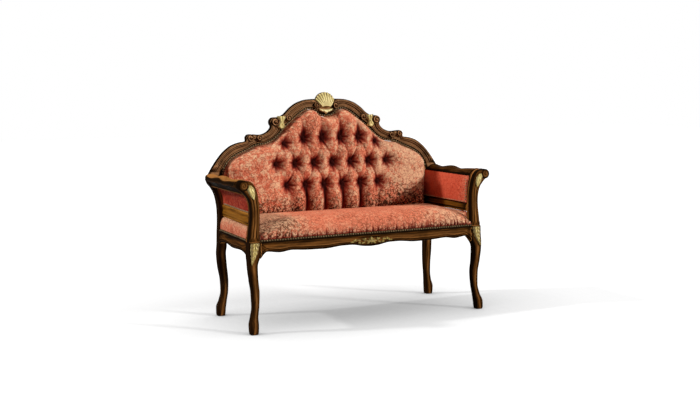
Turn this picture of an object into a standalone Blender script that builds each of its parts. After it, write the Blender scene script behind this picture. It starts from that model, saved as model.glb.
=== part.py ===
"""Rococo-revival settee: a carved show-wood frame with open arms and a deep-buttoned back.

Metres, +Z up. The floor is Z = 0, the front faces -Y and the length runs along X.
"""
import math

import bmesh
import bpy
from mathutils import Vector

for old in list(bpy.data.objects):
    bpy.data.objects.remove(old, do_unlink=True)

# Overall sizes
LENGTH = 1.316           # over the arm scrolls
DEPTH = 0.534            # front toes to the back of the crest
CREST_TOP = 1.023        # top of the arch, under the shell
ARM_TOP = 0.685          # top of the arm rails
POST_TOP = 0.653         # joint between the rear posts and the shoulders
RAIL_TOP = 0.409         # top of the seat rails

# Frame
FIT = 0.0003             # gap kept between pieces that touch
SCROLL_REACH = 0.066     # centreline of the front legs out to the edge of the arm scroll
SCROLL_RADIUS = 0.0235
TOE_REACH = 0.0245       # front toes ahead of the front rail
REAR_INSET = 0.017       # rear legs stand this much nearer the middle than the front ones
BLOCK_IN = 0.035         # leg block, from the leg's centreline to the front rail
BLOCK_DEEP = 0.0435      # leg block, from the front of the rail to its back
POST_IN = 0.024          # rear post, from the leg's centreline to the rear rail
POST_DEEP = 0.043
RAIL_THICK = 0.026
REAR_RAIL_DEEP = 0.054
REAR_RAIL_SET = 0.006    # rear seat rail behind the front of the posts
REBATE = 0.012           # ledge inside the seat rails that the webbing lies on
SUPPORT_DEEP = 0.042
ARM_DEEP = 0.068         # height of the arm rail's section
STRETCHER_LOW = 0.067    # underside of the arm stretchers above the seat rails
STRETCHER_DEEP = 0.057
BACK_LEAN = 0.1          # the back frame's set-back for each metre of rise
CREST_THICK = 0.0315
CREST_TAPER = 0.016      # the crest's outer edge slopes in by this much towards its back
BACK_RAIL_LOW = 0.021    # underside of the lower back rail above the seat rails
BACK_RAIL_DEEP = 0.042
BACK_RAIL_THICK = 0.020
BACK_RAIL_SET = 0.004    # lower back rail behind the front of the back frame
BLOCK_LEG = 0.085        # length of a corner block along each rail
BLOCK_TALL = 0.032
BLOCK_DROP = 0.004       # corner blocks below the ledge of the rails
MOULDING_RISE = 0.012    # height of the crest's outer roll
FLANGE = 0.0095          # flat margin of the crest round the pad
BOSS_SIDES = 12
BOSS_ROOT = 0.006        # how far a scroll eye runs into its piece
EDGE_CUT = 0.003         # cut corners of the blocks and posts
EDGE_ROUND = 0.005       # rounding of the arm stretchers
FRONT_CHAMFER = 0.004    # chamfer round the front of the arm supports

# Upholstery
SEAT_EDGE = 0.024        # upright edge of the seat pad
SEAT_CROWN = 0.064       # rise of the seat pad above its edge
SEAT_SHOULDER = 0.05     # width over which the seat's shoulder rounds up
SEAT_ROUND = 0.17        # width over which the seat rounds up to its crown
SEAT_SIDE_EASE = 0.38    # the ends of the seat rise this much more gently, to pass under the arms
SEAT_BACK_EASE = 0.42    # and so does its back, under the back pad
SEAT_GAP = 0.0008        # room between the seat pad and the arm supports
SEAT_MARGIN = 0.003      # seat pad inside the outer face of the side rails
SEAT_SET = 0.001         # front of the seat pad behind the front of the arm supports
SEAT_BACK_GAP = 0.0015   # seat pad ahead of the rear posts
BACK_SWELL = 0.076       # how far the back pad stands in front of its frame
BACK_ROUND = 0.085       # width over which the back pad rounds up
PAD_SEAT = 0.010         # how far the back pad sits into the frame
PAD_GAP = 0.0012         # room between the edge of the back pad and the crest
PAD_TUCK = 0.021         # flat margin of the back pad behind the arms
PAD_EDGE = 0.002         # thickness of the back pad in front of the frame at its edges
PAD_FOOT_EASE = 0.006    # the foot of the back pad is already this far round its curve
PAD_SHOULDER = 0.035     # width over which the shoulder of the back pad rounds up
TUFT_DEPTH = 0.032
TUFT_ROOM = 0.05         # tufts grow shallower within this distance of the pad's edge
CREASE_SHARE = 0.45      # depth of the sewn folds against the tufts
TUFT_SPREAD = 0.018      # how quickly the pad rises round a tuft's flat bottom
BUTTON_PITCH = 0.101
BUTTON_RADIUS = 0.0092
BUTTON_RISE = 0.006
BUTTON_SEAT = 0.0116     # half width of the rows and columns round a button
TUFT_FLAT = 0.0245       # radius of the flat bottom of a tuft
ROW_LIFT = (0.139, 0.243, 0.362)  # rows of buttons above the foot of the back pad
ROW_LIMIT = (0.40, 0.74, 0.90)    # most that a row may take of the pad's height under a low edge
ARM_PAD_SWELL = 0.011
WEB_THICK = 0.0022
SEAT_STRAP = 0.052
BACK_STRAP = 0.045
WEB_DROP = 0.007         # upper ends of the back straps below the crest
COVER_THICK = 0.003
COVER_SINK = 0.002       # outside back cover ahead of the back of the crest
DUST_THICK = 0.0012
GIMP_MARGIN = 0.0024     # gimp away from the crest's inner edge
GIMP_WIDE = 0.0066
GIMP_THICK = 0.0024
SEAT_GIMP_WIDE = 0.010
GIMP_EASE = 0.001        # eased edges of the seat gimp

# Gilt carving
SHELL_RADIUS = 0.066
SHELL_RIBS = 7
SHELL_SPREAD = math.radians(82)
SHELL_DROP = 0.033       # middle of the shell's fan below the top of the crest
LEAF_RISE = 0.006

# Lines worked out from the sizes above
LEG_X = LENGTH / 2 - SCROLL_REACH
REAR_X = LEG_X - REAR_INSET
FRONT_Y = -DEPTH / 2 + TOE_REACH
SUPPORT_FRONT = FRONT_Y + 0.002
SUPPORT_BACK = SUPPORT_FRONT + SUPPORT_DEEP
BLOCK_BACK = FRONT_Y + BLOCK_DEEP
PAD_FOOT = RAIL_TOP + BACK_RAIL_LOW + BACK_RAIL_DEEP
WEB_LEDGE = RAIL_TOP - WEB_THICK - 2 * FIT
BLOCK_TOP = WEB_LEDGE - BLOCK_DROP
SIDES = (("left", -1), ("right", 1))


def back_y(z):
    """Front face of the back frame at a height."""
    return DEPTH / 2 - CREST_THICK - BACK_LEAN * (CREST_TOP - CREST_TAPER - z)


REAR_Y = back_y(RAIL_TOP)
REAR_RAIL_Y = REAR_Y + REAR_RAIL_SET


def finish(name, colour, roughness, metallic=0.0):
    """A plain surface for a kind of piece."""
    made = bpy.data.materials.new(name)
    made.use_nodes = True
    shader = made.node_tree.nodes["Principled BSDF"]
    shader.inputs["Base Color"].default_value = (*colour, 1.0)
    shader.inputs["Roughness"].default_value = roughness
    shader.inputs["Metallic"].default_value = metallic
    return made


WALNUT = finish("walnut", (0.10, 0.045, 0.025), 0.28)
BEECH = finish("beech", (0.55, 0.40, 0.25), 0.6)
GILT = finish("gilt", (0.72, 0.56, 0.34), 0.38, 0.4)
DAMASK = finish("damask", (0.62, 0.16, 0.11), 0.62)
BRAID = finish("braid", (0.16, 0.09, 0.05), 0.5)
JUTE = finish("jute", (0.52, 0.42, 0.28), 0.85)
CAMBRIC = finish("cambric", (0.06, 0.055, 0.05), 0.9)

frame_root = bpy.data.objects.new("settee", None)
bpy.context.collection.objects.link(frame_root)


def place(name, shape, material):
    """Turn a closed bmesh into a named object whose origin is its own middle."""
    bmesh.ops.recalc_face_normals(shape, faces=shape.faces)
    axes = list(zip(*(vertex.co for vertex in shape.verts)))
    middle = Vector([(min(axis) + max(axis)) / 2 for axis in axes])
    bmesh.ops.translate(shape, vec=-middle, verts=shape.verts)
    mesh = bpy.data.meshes.new(name)
    shape.to_mesh(mesh)
    shape.free()
    mesh.materials.append(material)
    mesh.shade_smooth()
    mesh.set_sharp_from_angle(angle=math.radians(40))
    made = bpy.data.objects.new(name, mesh)
    made.location = middle
    made.parent = frame_root
    bpy.context.collection.objects.link(made)
    return made


def loft(name, rings, material):
    """Close a row of equal rings into one solid."""
    shape = bmesh.new()
    rows = [[shape.verts.new(point) for point in ring] for ring in rings]
    count = len(rows[0])
    for near, far in zip(rows, rows[1:]):
        for i in range(count):
            j = (i + 1) % count
            shape.faces.new((near[i], near[j], far[j], far[i]))
    shape.faces.new(rows[0])
    shape.faces.new(rows[-1])
    return place(name, shape, material)


def sheet(name, front, back, skip, material):
    """Close two equal grids of points into one solid, leaving out the cells that skip() names."""
    shape = bmesh.new()
    faces = [[shape.verts.new(point) for point in row] for row in front]
    backs = [[shape.verts.new(point) for point in row] for row in back]
    rows = len(front) - 1
    columns = len(front[0]) - 1
    kept = {(i, j) for i in range(rows) for j in range(columns) if not skip(i, j)}
    for i, j in kept:
        shape.faces.new((faces[i][j], faces[i][j + 1], faces[i + 1][j + 1], faces[i + 1][j]))
        shape.faces.new((backs[i][j], backs[i + 1][j], backs[i + 1][j + 1], backs[i][j + 1]))
        sides = (
            ((i - 1, j), (i, j), (i, j + 1)),
            ((i + 1, j), (i + 1, j + 1), (i + 1, j)),
            ((i, j - 1), (i + 1, j), (i, j)),
            ((i, j + 1), (i, j + 1), (i + 1, j + 1)),
        )
        for beside, a, b in sides:
            if beside not in kept:
                wall = (faces[a[0]][a[1]], backs[a[0]][a[1]], backs[b[0]][b[1]], faces[b[0]][b[1]])
                shape.faces.new(wall)
    loose = [vertex for vertex in shape.verts if not vertex.link_faces]
    bmesh.ops.delete(shape, geom=loose, context="VERTS")
    return place(name, shape, material)


def cushion(name, front, on_flat, material):
    """Close a grid of points with a flat back, where on_flat() gives the place behind a point."""
    shape = bmesh.new()
    grid = [[shape.verts.new(point) for point in row] for row in front]
    for near, far in zip(grid, grid[1:]):
        for j in range(len(near) - 1):
            shape.faces.new((near[j], near[j + 1], far[j + 1], far[j]))
    ends = [row[-1] for row in grid[1:-1]]
    starts = [row[0] for row in grid[-2:0:-1]]
    rim = grid[0] + ends + grid[-1][::-1] + starts
    behind = [shape.verts.new(on_flat(vertex.co)) for vertex in rim]
    for i in range(len(rim)):
        shape.faces.new((rim[i - 1], rim[i], behind[i], behind[i - 1]))
    shape.faces.new(behind)
    return place(name, shape, material)


def between(stations, at):
    """Smooth values at a place along stations (place, value, value, ...), with no overshoot."""
    i = 0
    while i < len(stations) - 2 and at > stations[i + 1][0]:
        i += 1
    span = stations[i + 1][0] - stations[i][0]
    s = min(max((at - stations[i][0]) / span, 0.0), 1.0)

    def slope(n, k):
        if n == 0 or n == len(stations) - 1:
            m = min(n, len(stations) - 2)
            return (stations[m + 1][k] - stations[m][k]) / (stations[m + 1][0] - stations[m][0])
        before = (stations[n][k] - stations[n - 1][k]) / (stations[n][0] - stations[n - 1][0])
        after = (stations[n + 1][k] - stations[n][k]) / (stations[n + 1][0] - stations[n][0])
        return 2 * before * after / (before + after) if before * after > 0 else 0.0

    values = []
    for k in range(1, len(stations[0])):
        a = stations[i][k]
        b = stations[i + 1][k]
        bend = slope(i, k) * span * s * (1 - s) ** 2 - slope(i + 1, k) * span * s * s * (1 - s)
        values.append(a * (1 + 2 * s) * (1 - s) ** 2 + b * s * s * (3 - 2 * s) + bend)
    return values


def square_ring(x0, x1, y0, y1, z, cut):
    """A level square ring with its corners cut off."""
    return [
        (x0 + cut, y0, z), (x1 - cut, y0, z), (x1, y0 + cut, z), (x1, y1 - cut, z),
        (x1 - cut, y1, z), (x0 + cut, y1, z), (x0, y1 - cut, z), (x0, y0 + cut, z),
    ]


def flip(ring, sign):
    """The same ring on the left or right side."""
    return [(sign * x, y, z) for x, y, z in ring]


def inset(outline, width):
    """Points of a counter-clockwise outline moved inward."""
    moved = []
    count = len(outline)
    for i in range(count):
        ax, az = outline[i - 1]
        bx, bz = outline[(i + 1) % count]
        size = math.hypot(bx - ax, bz - az)
        moved.append((outline[i][0] - (bz - az) / size * width, outline[i][1] + (bx - ax) / size * width))
    return moved


def scroll_boss(target, name, centre, out, radius, rise):
    """Join a raised scroll eye to a piece."""
    out = Vector(out).normalized()
    across = out.cross(Vector((0, 0, 1))).normalized()
    up = across.cross(out)
    profile = ((1.0, -BOSS_ROOT), (1.0, 0.55 * rise), (0.84, rise), (0.62, 0.75 * rise), (0.36, 1.1 * rise))
    shape = bmesh.new()
    rows = []
    for share, lift in profile:
        ring = []
        for k in range(BOSS_SIDES):
            turn = 2 * math.pi * k / BOSS_SIDES
            arm = across * math.cos(turn) + up * math.sin(turn)
            ring.append(shape.verts.new(Vector(centre) + arm * radius * share + out * lift))
        rows.append(ring)
    for near, far in zip(rows, rows[1:]):
        for i in range(BOSS_SIDES):
            j = (i + 1) % BOSS_SIDES
            shape.faces.new((near[i], near[j], far[j], far[i]))
    shape.faces.new(rows[0])
    shape.faces.new(rows[-1])
    boss = place(name, shape, WALNUT)
    boss.hide_render = True
    boss.display_type = "WIRE"
    union = target.modifiers.new(name, "BOOLEAN")
    union.operation = "UNION"
    union.solver = "EXACT"
    union.object = boss


# Front legs: share of the leg's height, then inner, outer, front and back faces and the corner cut,
# across from the leg's centreline and back from the front of the rail
FRONT_LEG = (
    (0.000, -0.0080, 0.0180, -0.0215, 0.0035, 0.005),
    (0.025, -0.0105, 0.0205, -TOE_REACH, 0.0060, 0.006),
    (0.093, -0.0125, 0.0210, -0.0230, 0.0105, 0.007),
    (0.183, -0.0160, 0.0120, -0.0100, 0.0180, 0.008),
    (0.293, -0.0235, 0.0035, -0.0050, 0.0225, 0.008),
    (0.440, -0.0265, 0.0050, -0.0035, 0.0275, 0.008),
    (0.587, -0.0205, 0.0140, -0.0055, 0.0285, 0.008),
    (0.733, -0.0175, 0.0210, -0.0065, 0.0305, 0.007),
    (0.785, -0.0195, 0.0220, -0.0060, 0.0325, 0.005),
    (0.820, -BLOCK_IN, 0.0220, -0.0050, 0.0410, EDGE_CUT),
    (0.870, -BLOCK_IN, 0.0210, -0.0030, BLOCK_DEEP, EDGE_CUT),
    (1.000, -BLOCK_IN, 0.0195, -0.0015, BLOCK_DEEP, EDGE_CUT),
)
FRONT_LEG_RINGS = 22

# Rear legs below the seat rails, from the leg's own centreline and the front of the post
REAR_LEG = (
    (0.000, -0.0080, 0.0195, 0.0010, 0.0280, 0.005),
    (0.025, -0.0095, 0.0215, -0.0005, 0.0300, 0.006),
    (0.098, -0.0120, 0.0220, -0.0030, 0.0305, 0.007),
    (0.183, -0.0170, 0.0115, -0.0040, 0.0255, 0.007),
    (0.293, -0.0235, 0.0040, -0.0075, 0.0205, 0.007),
    (0.416, -0.0255, 0.0055, -0.0070, 0.0245, 0.007),
    (0.587, -0.0215, 0.0145, -0.0015, 0.0345, 0.007),
    (0.733, -0.0190, 0.0175, 0.0025, 0.0390, 0.005),
    (0.830, -POST_IN, 0.0150, 0.0000, 0.0410, EDGE_CUT),
    (1.000, -POST_IN, 0.0125, 0.0000, POST_DEEP, EDGE_CUT),
)
REAR_LEG_RINGS = 16
# Rear posts above the seat rails: share of the post's height, inner and outer faces and depth
REAR_POST = (
    (0.000, -POST_IN, 0.0125, POST_DEEP),
    (0.170, -0.0255, 0.0095, POST_DEEP),
    (0.370, -0.0265, 0.0080, POST_DEEP),
    (0.540, -0.0245, 0.0115, POST_DEEP),
    (0.680, -0.0195, 0.0190, 0.041),
    (0.824, -0.0160, 0.0370, 0.036),
    (0.914, -0.0140, 0.0550, 0.033),
    (1.000, -0.0125, 0.0630, CREST_THICK),
)
POST_RINGS = 11


def front_leg_faces(z):
    """Inner, outer, front and back faces of a front leg at a height, and its corner cut."""
    x0, x1, y0, y1, cut = between(FRONT_LEG, z / RAIL_TOP)
    return LEG_X + x0, LEG_X + x1, FRONT_Y + y0, FRONT_Y + y1, cut


def post_faces(z):
    """Inner and outer faces and depth of a rear post at a height."""
    x0, x1, deep = between(REAR_POST, (z - RAIL_TOP) / (POST_TOP - RAIL_TOP))
    return REAR_X + x0, REAR_X + x1, deep


def make_legs():
    for side, sign in SIDES:
        rings = []
        for k in range(FRONT_LEG_RINGS + 1):
            z = RAIL_TOP * k / FRONT_LEG_RINGS
            x0, x1, y0, y1, cut = front_leg_faces(z)
            rings.append(flip(square_ring(x0, x1, y0, y1, z, cut), sign))
        loft(f"front_leg_{side}", rings, WALNUT)
        rings = []
        for k in range(REAR_LEG_RINGS + 1):
            z = RAIL_TOP * k / REAR_LEG_RINGS
            x0, x1, y0, y1, cut = between(REAR_LEG, k / REAR_LEG_RINGS)
            ring = square_ring(REAR_X + x0, REAR_X + x1, REAR_Y + y0, REAR_Y + y1, z, cut)
            rings.append(flip(ring, sign))
        for k in range(1, POST_RINGS + 1):
            z = RAIL_TOP + (POST_TOP - RAIL_TOP) * k / POST_RINGS
            x0, x1, deep = post_faces(z)
            rings.append(flip(square_ring(x0, x1, back_y(z), back_y(z) + deep, z, EDGE_CUT), sign))
        loft(f"rear_leg_{side}", rings, WALNUT)


# Lower edge of the front rail: share of its half length, drop below the top
FRONT_RAIL_EDGE = (
    (0.00, 0.057), (0.06, 0.055), (0.19, 0.0445), (0.26, 0.0445), (0.43, 0.052), (0.60, 0.050),
    (0.73, 0.0455), (0.83, 0.052), (0.945, 0.045), (0.975, 0.056), (1.00, 0.074),
)
# Lower edge of the side rails: share of the length from the front, drop below the top
SIDE_RAIL_EDGE = (
    (0.00, 0.066), (0.07, 0.056), (0.20, 0.049), (0.50, 0.054), (0.75, 0.045), (0.90, 0.049),
    (1.00, 0.060),
)
RAIL_STEPS = 24          # rings along half the front rail
SIDE_RAIL_RINGS = 16
SIDE_RAIL_OUT = (0.0140, 0.0120)  # outer face beyond the front leg's and the rear leg's centrelines


def rail_section(outer, inner, top, low):
    """Rail profile with a ledge along its inner top edge, as (across, height)."""
    ledge = outer + (inner - outer) * (1 - REBATE / RAIL_THICK)
    return [
        (outer, low), (inner, low), (inner, WEB_LEDGE),
        (ledge, WEB_LEDGE), (ledge, top), (outer, top),
    ]


def side_rail_faces(y):
    """Outer and inner face of a side rail at a depth."""
    share = (y - BLOCK_BACK) / (REAR_Y - BLOCK_BACK)
    front = LEG_X + SIDE_RAIL_OUT[0]
    rear = REAR_X + SIDE_RAIL_OUT[1]
    outer = front + (rear - front) * share
    return outer, outer - RAIL_THICK


def make_rails():
    half = LEG_X - BLOCK_IN - FIT
    rings = []
    for k in range(-RAIL_STEPS, RAIL_STEPS + 1):
        share = k / RAIL_STEPS
        low = RAIL_TOP - between(FRONT_RAIL_EDGE, abs(share))[0]
        section = rail_section(FRONT_Y, FRONT_Y + RAIL_THICK, RAIL_TOP, low)
        rings.append([(half * share, y, z) for y, z in section])
    loft("front_seat_rail", rings, WALNUT)

    half = REAR_X - POST_IN - FIT
    rear_face = REAR_RAIL_Y + RAIL_THICK
    section = rail_section(rear_face, rear_face - RAIL_THICK, RAIL_TOP, RAIL_TOP - REAR_RAIL_DEEP)
    loft("rear_seat_rail", [[(x, y, z) for y, z in section] for x in (-half, half)], WALNUT)

    start = BLOCK_BACK + FIT
    length = REAR_Y - FIT - start
    for side, sign in SIDES:
        rings = []
        for k in range(SIDE_RAIL_RINGS + 1):
            share = k / SIDE_RAIL_RINGS
            y = start + length * share
            outer, inner = side_rail_faces(y)
            low = RAIL_TOP - between(SIDE_RAIL_EDGE, share)[0]
            section = rail_section(outer, inner, RAIL_TOP, low)
            rings.append(flip([(x, y, z) for x, z in section], sign))
        loft(f"side_seat_rail_{side}", rings, WALNUT)


def make_corner_blocks():
    rail = FRONT_Y + RAIL_THICK + FIT
    leg_x = LEG_X - BLOCK_IN - FIT
    leg_y = BLOCK_BACK + FIT
    side_near = side_rail_faces(leg_y)[1] - FIT
    side_far = side_rail_faces(leg_y + BLOCK_LEG)[1] - FIT
    front = [
        (leg_x - BLOCK_LEG, rail), (leg_x, rail), (leg_x, leg_y), (side_near, leg_y),
        (side_far, leg_y + BLOCK_LEG), (side_far - RAIL_THICK, leg_y + BLOCK_LEG),
        (leg_x - BLOCK_LEG, rail + RAIL_THICK),
    ]
    rail = REAR_RAIL_Y - FIT
    post_x = REAR_X - POST_IN - FIT
    post_y = REAR_Y - FIT
    side_near = side_rail_faces(post_y)[1] - FIT
    side_far = side_rail_faces(post_y - BLOCK_LEG)[1] - FIT
    rear = [
        (post_x - BLOCK_LEG, rail), (post_x, rail), (post_x, post_y), (side_near, post_y),
        (side_far, post_y - BLOCK_LEG), (side_far - RAIL_THICK, post_y - BLOCK_LEG),
        (post_x - BLOCK_LEG, rail - RAIL_THICK),
    ]
    for end, outline in (("front", front), ("rear", rear)):
        for side, sign in SIDES:
            rings = []
            for z in (BLOCK_TOP - BLOCK_TALL, BLOCK_TOP):
                rings.append(flip([(x, y, z) for x, y in outline], sign))
            loft(f"corner_block_{end}_{side}", rings, BEECH)


# Arm supports: share of the arm's height, inner and outer edge from the leg's centreline
SUPPORT_EDGES = (
    (0.000, -0.0320, 0.0185), (0.045, -0.0320, 0.0185), (0.060, -0.0300, 0.0165),
    (0.150, -0.0315, 0.0130), (0.380, -0.0345, 0.0050), (0.470, -0.0342, 0.0042),
    (0.587, -0.0325, 0.0070), (0.690, -0.0285, 0.0160), (0.775, -0.0240, 0.0330),
)
SUPPORT_STEPS = 12
ARM_EYE_RISE = 0.004
# Crown of the support from its inner edge to the scroll: across from the leg, below the arm's top
SUPPORT_CROWN = ((-0.018, 0.041), (-0.006, 0.019), (0.012, 0.005))
SCROLL_ARC = (110, 8, 22.5)  # start of the scroll's round in degrees, its steps and the turn of each


def scroll_centre():
    return LEG_X + SCROLL_REACH - SCROLL_RADIUS, ARM_TOP - SCROLL_RADIUS


def support_outline():
    """Front view of a right-hand arm support, counter-clockwise from the inner foot."""
    rise = ARM_TOP - RAIL_TOP - FIT
    inner = []
    outer = []
    for k in range(SUPPORT_STEPS + 1):
        share = SUPPORT_EDGES[-1][0] * k / SUPPORT_STEPS
        x0, x1 = between(SUPPORT_EDGES, share)
        z = RAIL_TOP + FIT + rise * share
        inner.append((LEG_X + x0, z))
        outer.append((LEG_X + x1, z))
    crown = [(LEG_X + x, ARM_TOP - drop) for x, drop in SUPPORT_CROWN]
    cx, cz = scroll_centre()
    arc = []
    start, steps, step = SCROLL_ARC
    for k in range(steps + 1):
        turn = math.radians(start - step * k)
        arc.append((cx + SCROLL_RADIUS * math.cos(turn), cz + SCROLL_RADIUS * math.sin(turn)))
    return outer + (inner + crown + arc)[::-1]


def make_arm_supports():
    outline = support_outline()
    cx, cz = scroll_centre()
    for side, sign in SIDES:
        rings = []
        chamfer_back = SUPPORT_FRONT + FRONT_CHAMFER
        for y, cut in ((SUPPORT_FRONT, FRONT_CHAMFER), (chamfer_back, 0.0), (SUPPORT_BACK, 0.0)):
            rings.append(flip([(x, y, z) for x, z in inset(outline, cut)], sign))
        support = loft(f"arm_support_{side}", rings, WALNUT)
        eye = (sign * cx, SUPPORT_FRONT, cz)
        scroll_boss(support, f"arm_scroll_{side}", eye, (0, -1, 0), 0.72 * SCROLL_RADIUS, ARM_EYE_RISE)


# Section of an arm rail: across from the leg's centreline, below the arm's top
ARM_SECTION = (
    (-0.0245, ARM_DEEP), (-0.0180, 0.041), (-0.0060, 0.019), (0.0120, 0.005),
    (0.0300, 0.000), (0.0460, 0.0015), (0.0580, 0.009), (0.0615, 0.021),
    (0.0580, 0.033), (0.0470, 0.0425), (0.0360, 0.055), (0.0270, ARM_DEEP),
)
ARM_SHIFT = 0.0065       # the arms close in towards the back
# Waves along the top of the arm: share of its length from the front, drop of the top
ARM_WAVES = (
    (0.00, 0.000), (0.25, 0.006), (0.42, 0.0115), (0.58, 0.002), (0.85, 0.013), (1.00, 0.006),
)
ARM_RINGS = 16
STRETCHER_RINGS = 8
# Inner and outer face of a stretcher, from the leg's centreline at the support and inside the post's faces
STRETCHER_IN = (-0.0325, 0.0015)
STRETCHER_OUT = (0.0030, -0.0020)


def arm_station(share, below):
    """Place along the arm between its support and the back, at a height below its top."""
    start = SUPPORT_BACK + FIT
    stop = back_y(ARM_TOP - below) - FIT
    return start + (stop - start) * share


def make_arm_rails():
    for side, sign in SIDES:
        rings = []
        for k in range(ARM_RINGS + 1):
            share = k / ARM_RINGS
            wave = between(ARM_WAVES, share)[0]
            ring = []
            for across, below in ARM_SECTION:
                drop = below + wave * (1 - below / ARM_DEEP)
                x = LEG_X + across - ARM_SHIFT * share
                ring.append((x, arm_station(share, drop), ARM_TOP - drop))
            rings.append(flip(ring, sign))
        loft(f"arm_rail_{side}", rings, WALNUT)


def stretcher_faces(share):
    """Inner and outer face of an arm stretcher from the support to the post."""
    low = RAIL_TOP + STRETCHER_LOW
    post_in, post_out, _ = post_faces(low + STRETCHER_DEEP / 2)
    inner = (LEG_X + STRETCHER_IN[0]) * (1 - share) + (post_in + STRETCHER_IN[1]) * share
    outer = (LEG_X + STRETCHER_OUT[0]) * (1 - share) + (post_out + STRETCHER_OUT[1]) * share
    return inner, outer


def make_arm_stretchers():
    low = RAIL_TOP + STRETCHER_LOW
    top = low + STRETCHER_DEEP
    for side, sign in SIDES:
        rings = []
        for k in range(STRETCHER_RINGS + 1):
            share = k / STRETCHER_RINGS
            inner, outer = stretcher_faces(share)
            section = (
                (inner, low + EDGE_ROUND), (inner + EDGE_ROUND, low),
                (outer - EDGE_ROUND, low), (outer, low + EDGE_ROUND), (outer, top), (inner, top),
            )
            ring = [(x, arm_station(share, ARM_TOP - z), z) for x, z in section]
            rings.append(flip(ring, sign))
        loft(f"arm_stretcher_{side}", rings, WALNUT)


# The back's outlines, drawn at one size and fitted to the posts and the crest's top
# Inner edge of the crest and shoulders: place from the middle, height
INNER_EDGE = (
    (0.000, 0.935), (0.028, 0.939), (0.046, 0.950), (0.066, 0.9685), (0.095, 0.9715), (0.140, 0.950),
    (0.184, 0.917), (0.224, 0.884), (0.252, 0.856), (0.285, 0.828), (0.333, 0.808), (0.381, 0.8015),
    (0.429, 0.780), (0.476, 0.762), (0.518, 0.738), (0.545, 0.703), (0.5625, 0.653),
)
# Ribs of the crest from the middle to the ear: outer edge and the inner edge's place
CREST_RIBS = (
    (0.000, 1.0230, 0.000), (0.030, 1.0230, 0.028), (0.052, 1.0230, 0.046), (0.072, 1.0226, 0.066),
    (0.105, 1.0205, 0.092), (0.155, 1.0070, 0.128), (0.195, 0.9835, 0.158), (0.2335, 0.950, 0.190),
    (0.258, 0.9385, 0.206), (0.285, 0.9360, 0.220), (0.303, 0.9220, 0.235), (0.302, 0.8960, 0.252),
    (0.3265, 0.8670, 0.285), (0.363, 0.8555, 0.333), (0.392, 0.8580, 0.366),
)
# Ribs of a shoulder from the ear down to the post
SHOULDER_RIBS = (
    (0.3926, 0.8580, 0.3666), (0.412, 0.8570, 0.380), (0.430, 0.8450, 0.396), (0.4385, 0.8265, 0.418),
    (0.468, 0.8220, 0.448), (0.508, 0.8100, 0.476), (0.5495, 0.7825, 0.504), (0.586, 0.7435, 0.530),
    (0.6165, 0.7015, 0.548), (0.6315, 0.6760, 0.556), (0.638, 0.653, 0.5625),
)
DRAWN_HALF, DRAWN_FOOT = INNER_EDGE[-1]
DRAWN_TOP = CREST_RIBS[0][1]
RIB_STEPS = 2            # rings for each drawn rib
# Moulding of the crest: share of its width outside the flange, share of its rise
MOULDING = (
    (0.00, 0.00), (0.06, 0.45), (0.16, 0.60), (0.26, 0.35), (0.45, 0.05),
    (0.58, 0.25), (0.70, 0.85), (0.84, 1.00), (0.96, 0.60), (1.00, 0.05),
)
RELIEF_START = 0.056     # drawn place where the crest's moulding comes out from under the shell
RELIEF_RUN = 0.02
SHOULDER_CLEAR = 0.004   # the moulding of a shoulder ends this far above the arm
SHOULDER_RUN = 0.03
# Scroll eyes of the crest: place, height, radius and rise
CREST_SCROLLS = (
    ("arch_scroll", 0.210, 0.930, 0.014, 0.013),
    ("crest_scroll", 0.280, 0.914, 0.0185, 0.018),
    ("cove_scroll", 0.3655, 0.838, 0.0125, 0.014),
)
EAR_SCROLL = (0.4125, 0.8405, 0.0145, 0.015)


def back_half():
    """Half width inside the back frame at the top of the posts."""
    return REAR_X + REAR_POST[-1][1]


def drawn_x(x):
    return x * back_half() / DRAWN_HALF


def drawn_z(z):
    return POST_TOP + (z - DRAWN_FOOT) * (CREST_TOP - POST_TOP) / (DRAWN_TOP - DRAWN_FOOT)


def inner_edge(x):
    """Height of the back frame's inner edge at a place from the middle."""
    return drawn_z(between(INNER_EDGE, abs(x) * DRAWN_HALF / back_half())[0])


def rib_ends(ribs, at):
    """Inner and outer end of a rib of the crest, as (place, height)."""
    numbered = [(n, *rib) for n, rib in enumerate(ribs)]
    outer_x, outer_z, inner_x = between(numbered, at)
    inner_x = drawn_x(inner_x)
    return (inner_x, inner_edge(inner_x)), (drawn_x(outer_x), drawn_z(outer_z))


def on_back(x, z, rise):
    """A point standing out from the front of the back frame."""
    return (x, back_y(z) - rise, z)


def rib_ring(ends, relief, sign):
    """One moulded section of the crest."""
    (ix, iz), (ox, oz) = ends
    width = math.hypot(ox - ix, oz - iz)
    ring = [(ix, back_y(iz) + CREST_THICK, iz), (ix, back_y(iz), iz)]
    for share, rise in MOULDING:
        t = (FLANGE + (width - FLANGE) * share) / width
        ring.append(on_back(ix + (ox - ix) * t, iz + (oz - iz) * t, rise * MOULDING_RISE * relief))
    t = 1 - CREST_TAPER / width
    ring.append(on_back(ix + (ox - ix) * t, iz + (oz - iz) * t, -CREST_THICK))
    return flip(ring, sign)


def crest_relief(x):
    """The moulding flattens under the shell in the middle of the crest."""
    return min(max((abs(x) - drawn_x(RELIEF_START)) / drawn_x(RELIEF_RUN), 0.0), 1.0)


def shoulder_relief(z):
    """The moulding runs out flat where the arm meets it."""
    return min(max((z - ARM_TOP - SHOULDER_CLEAR) / SHOULDER_RUN, 0.0), 1.0)


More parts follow.
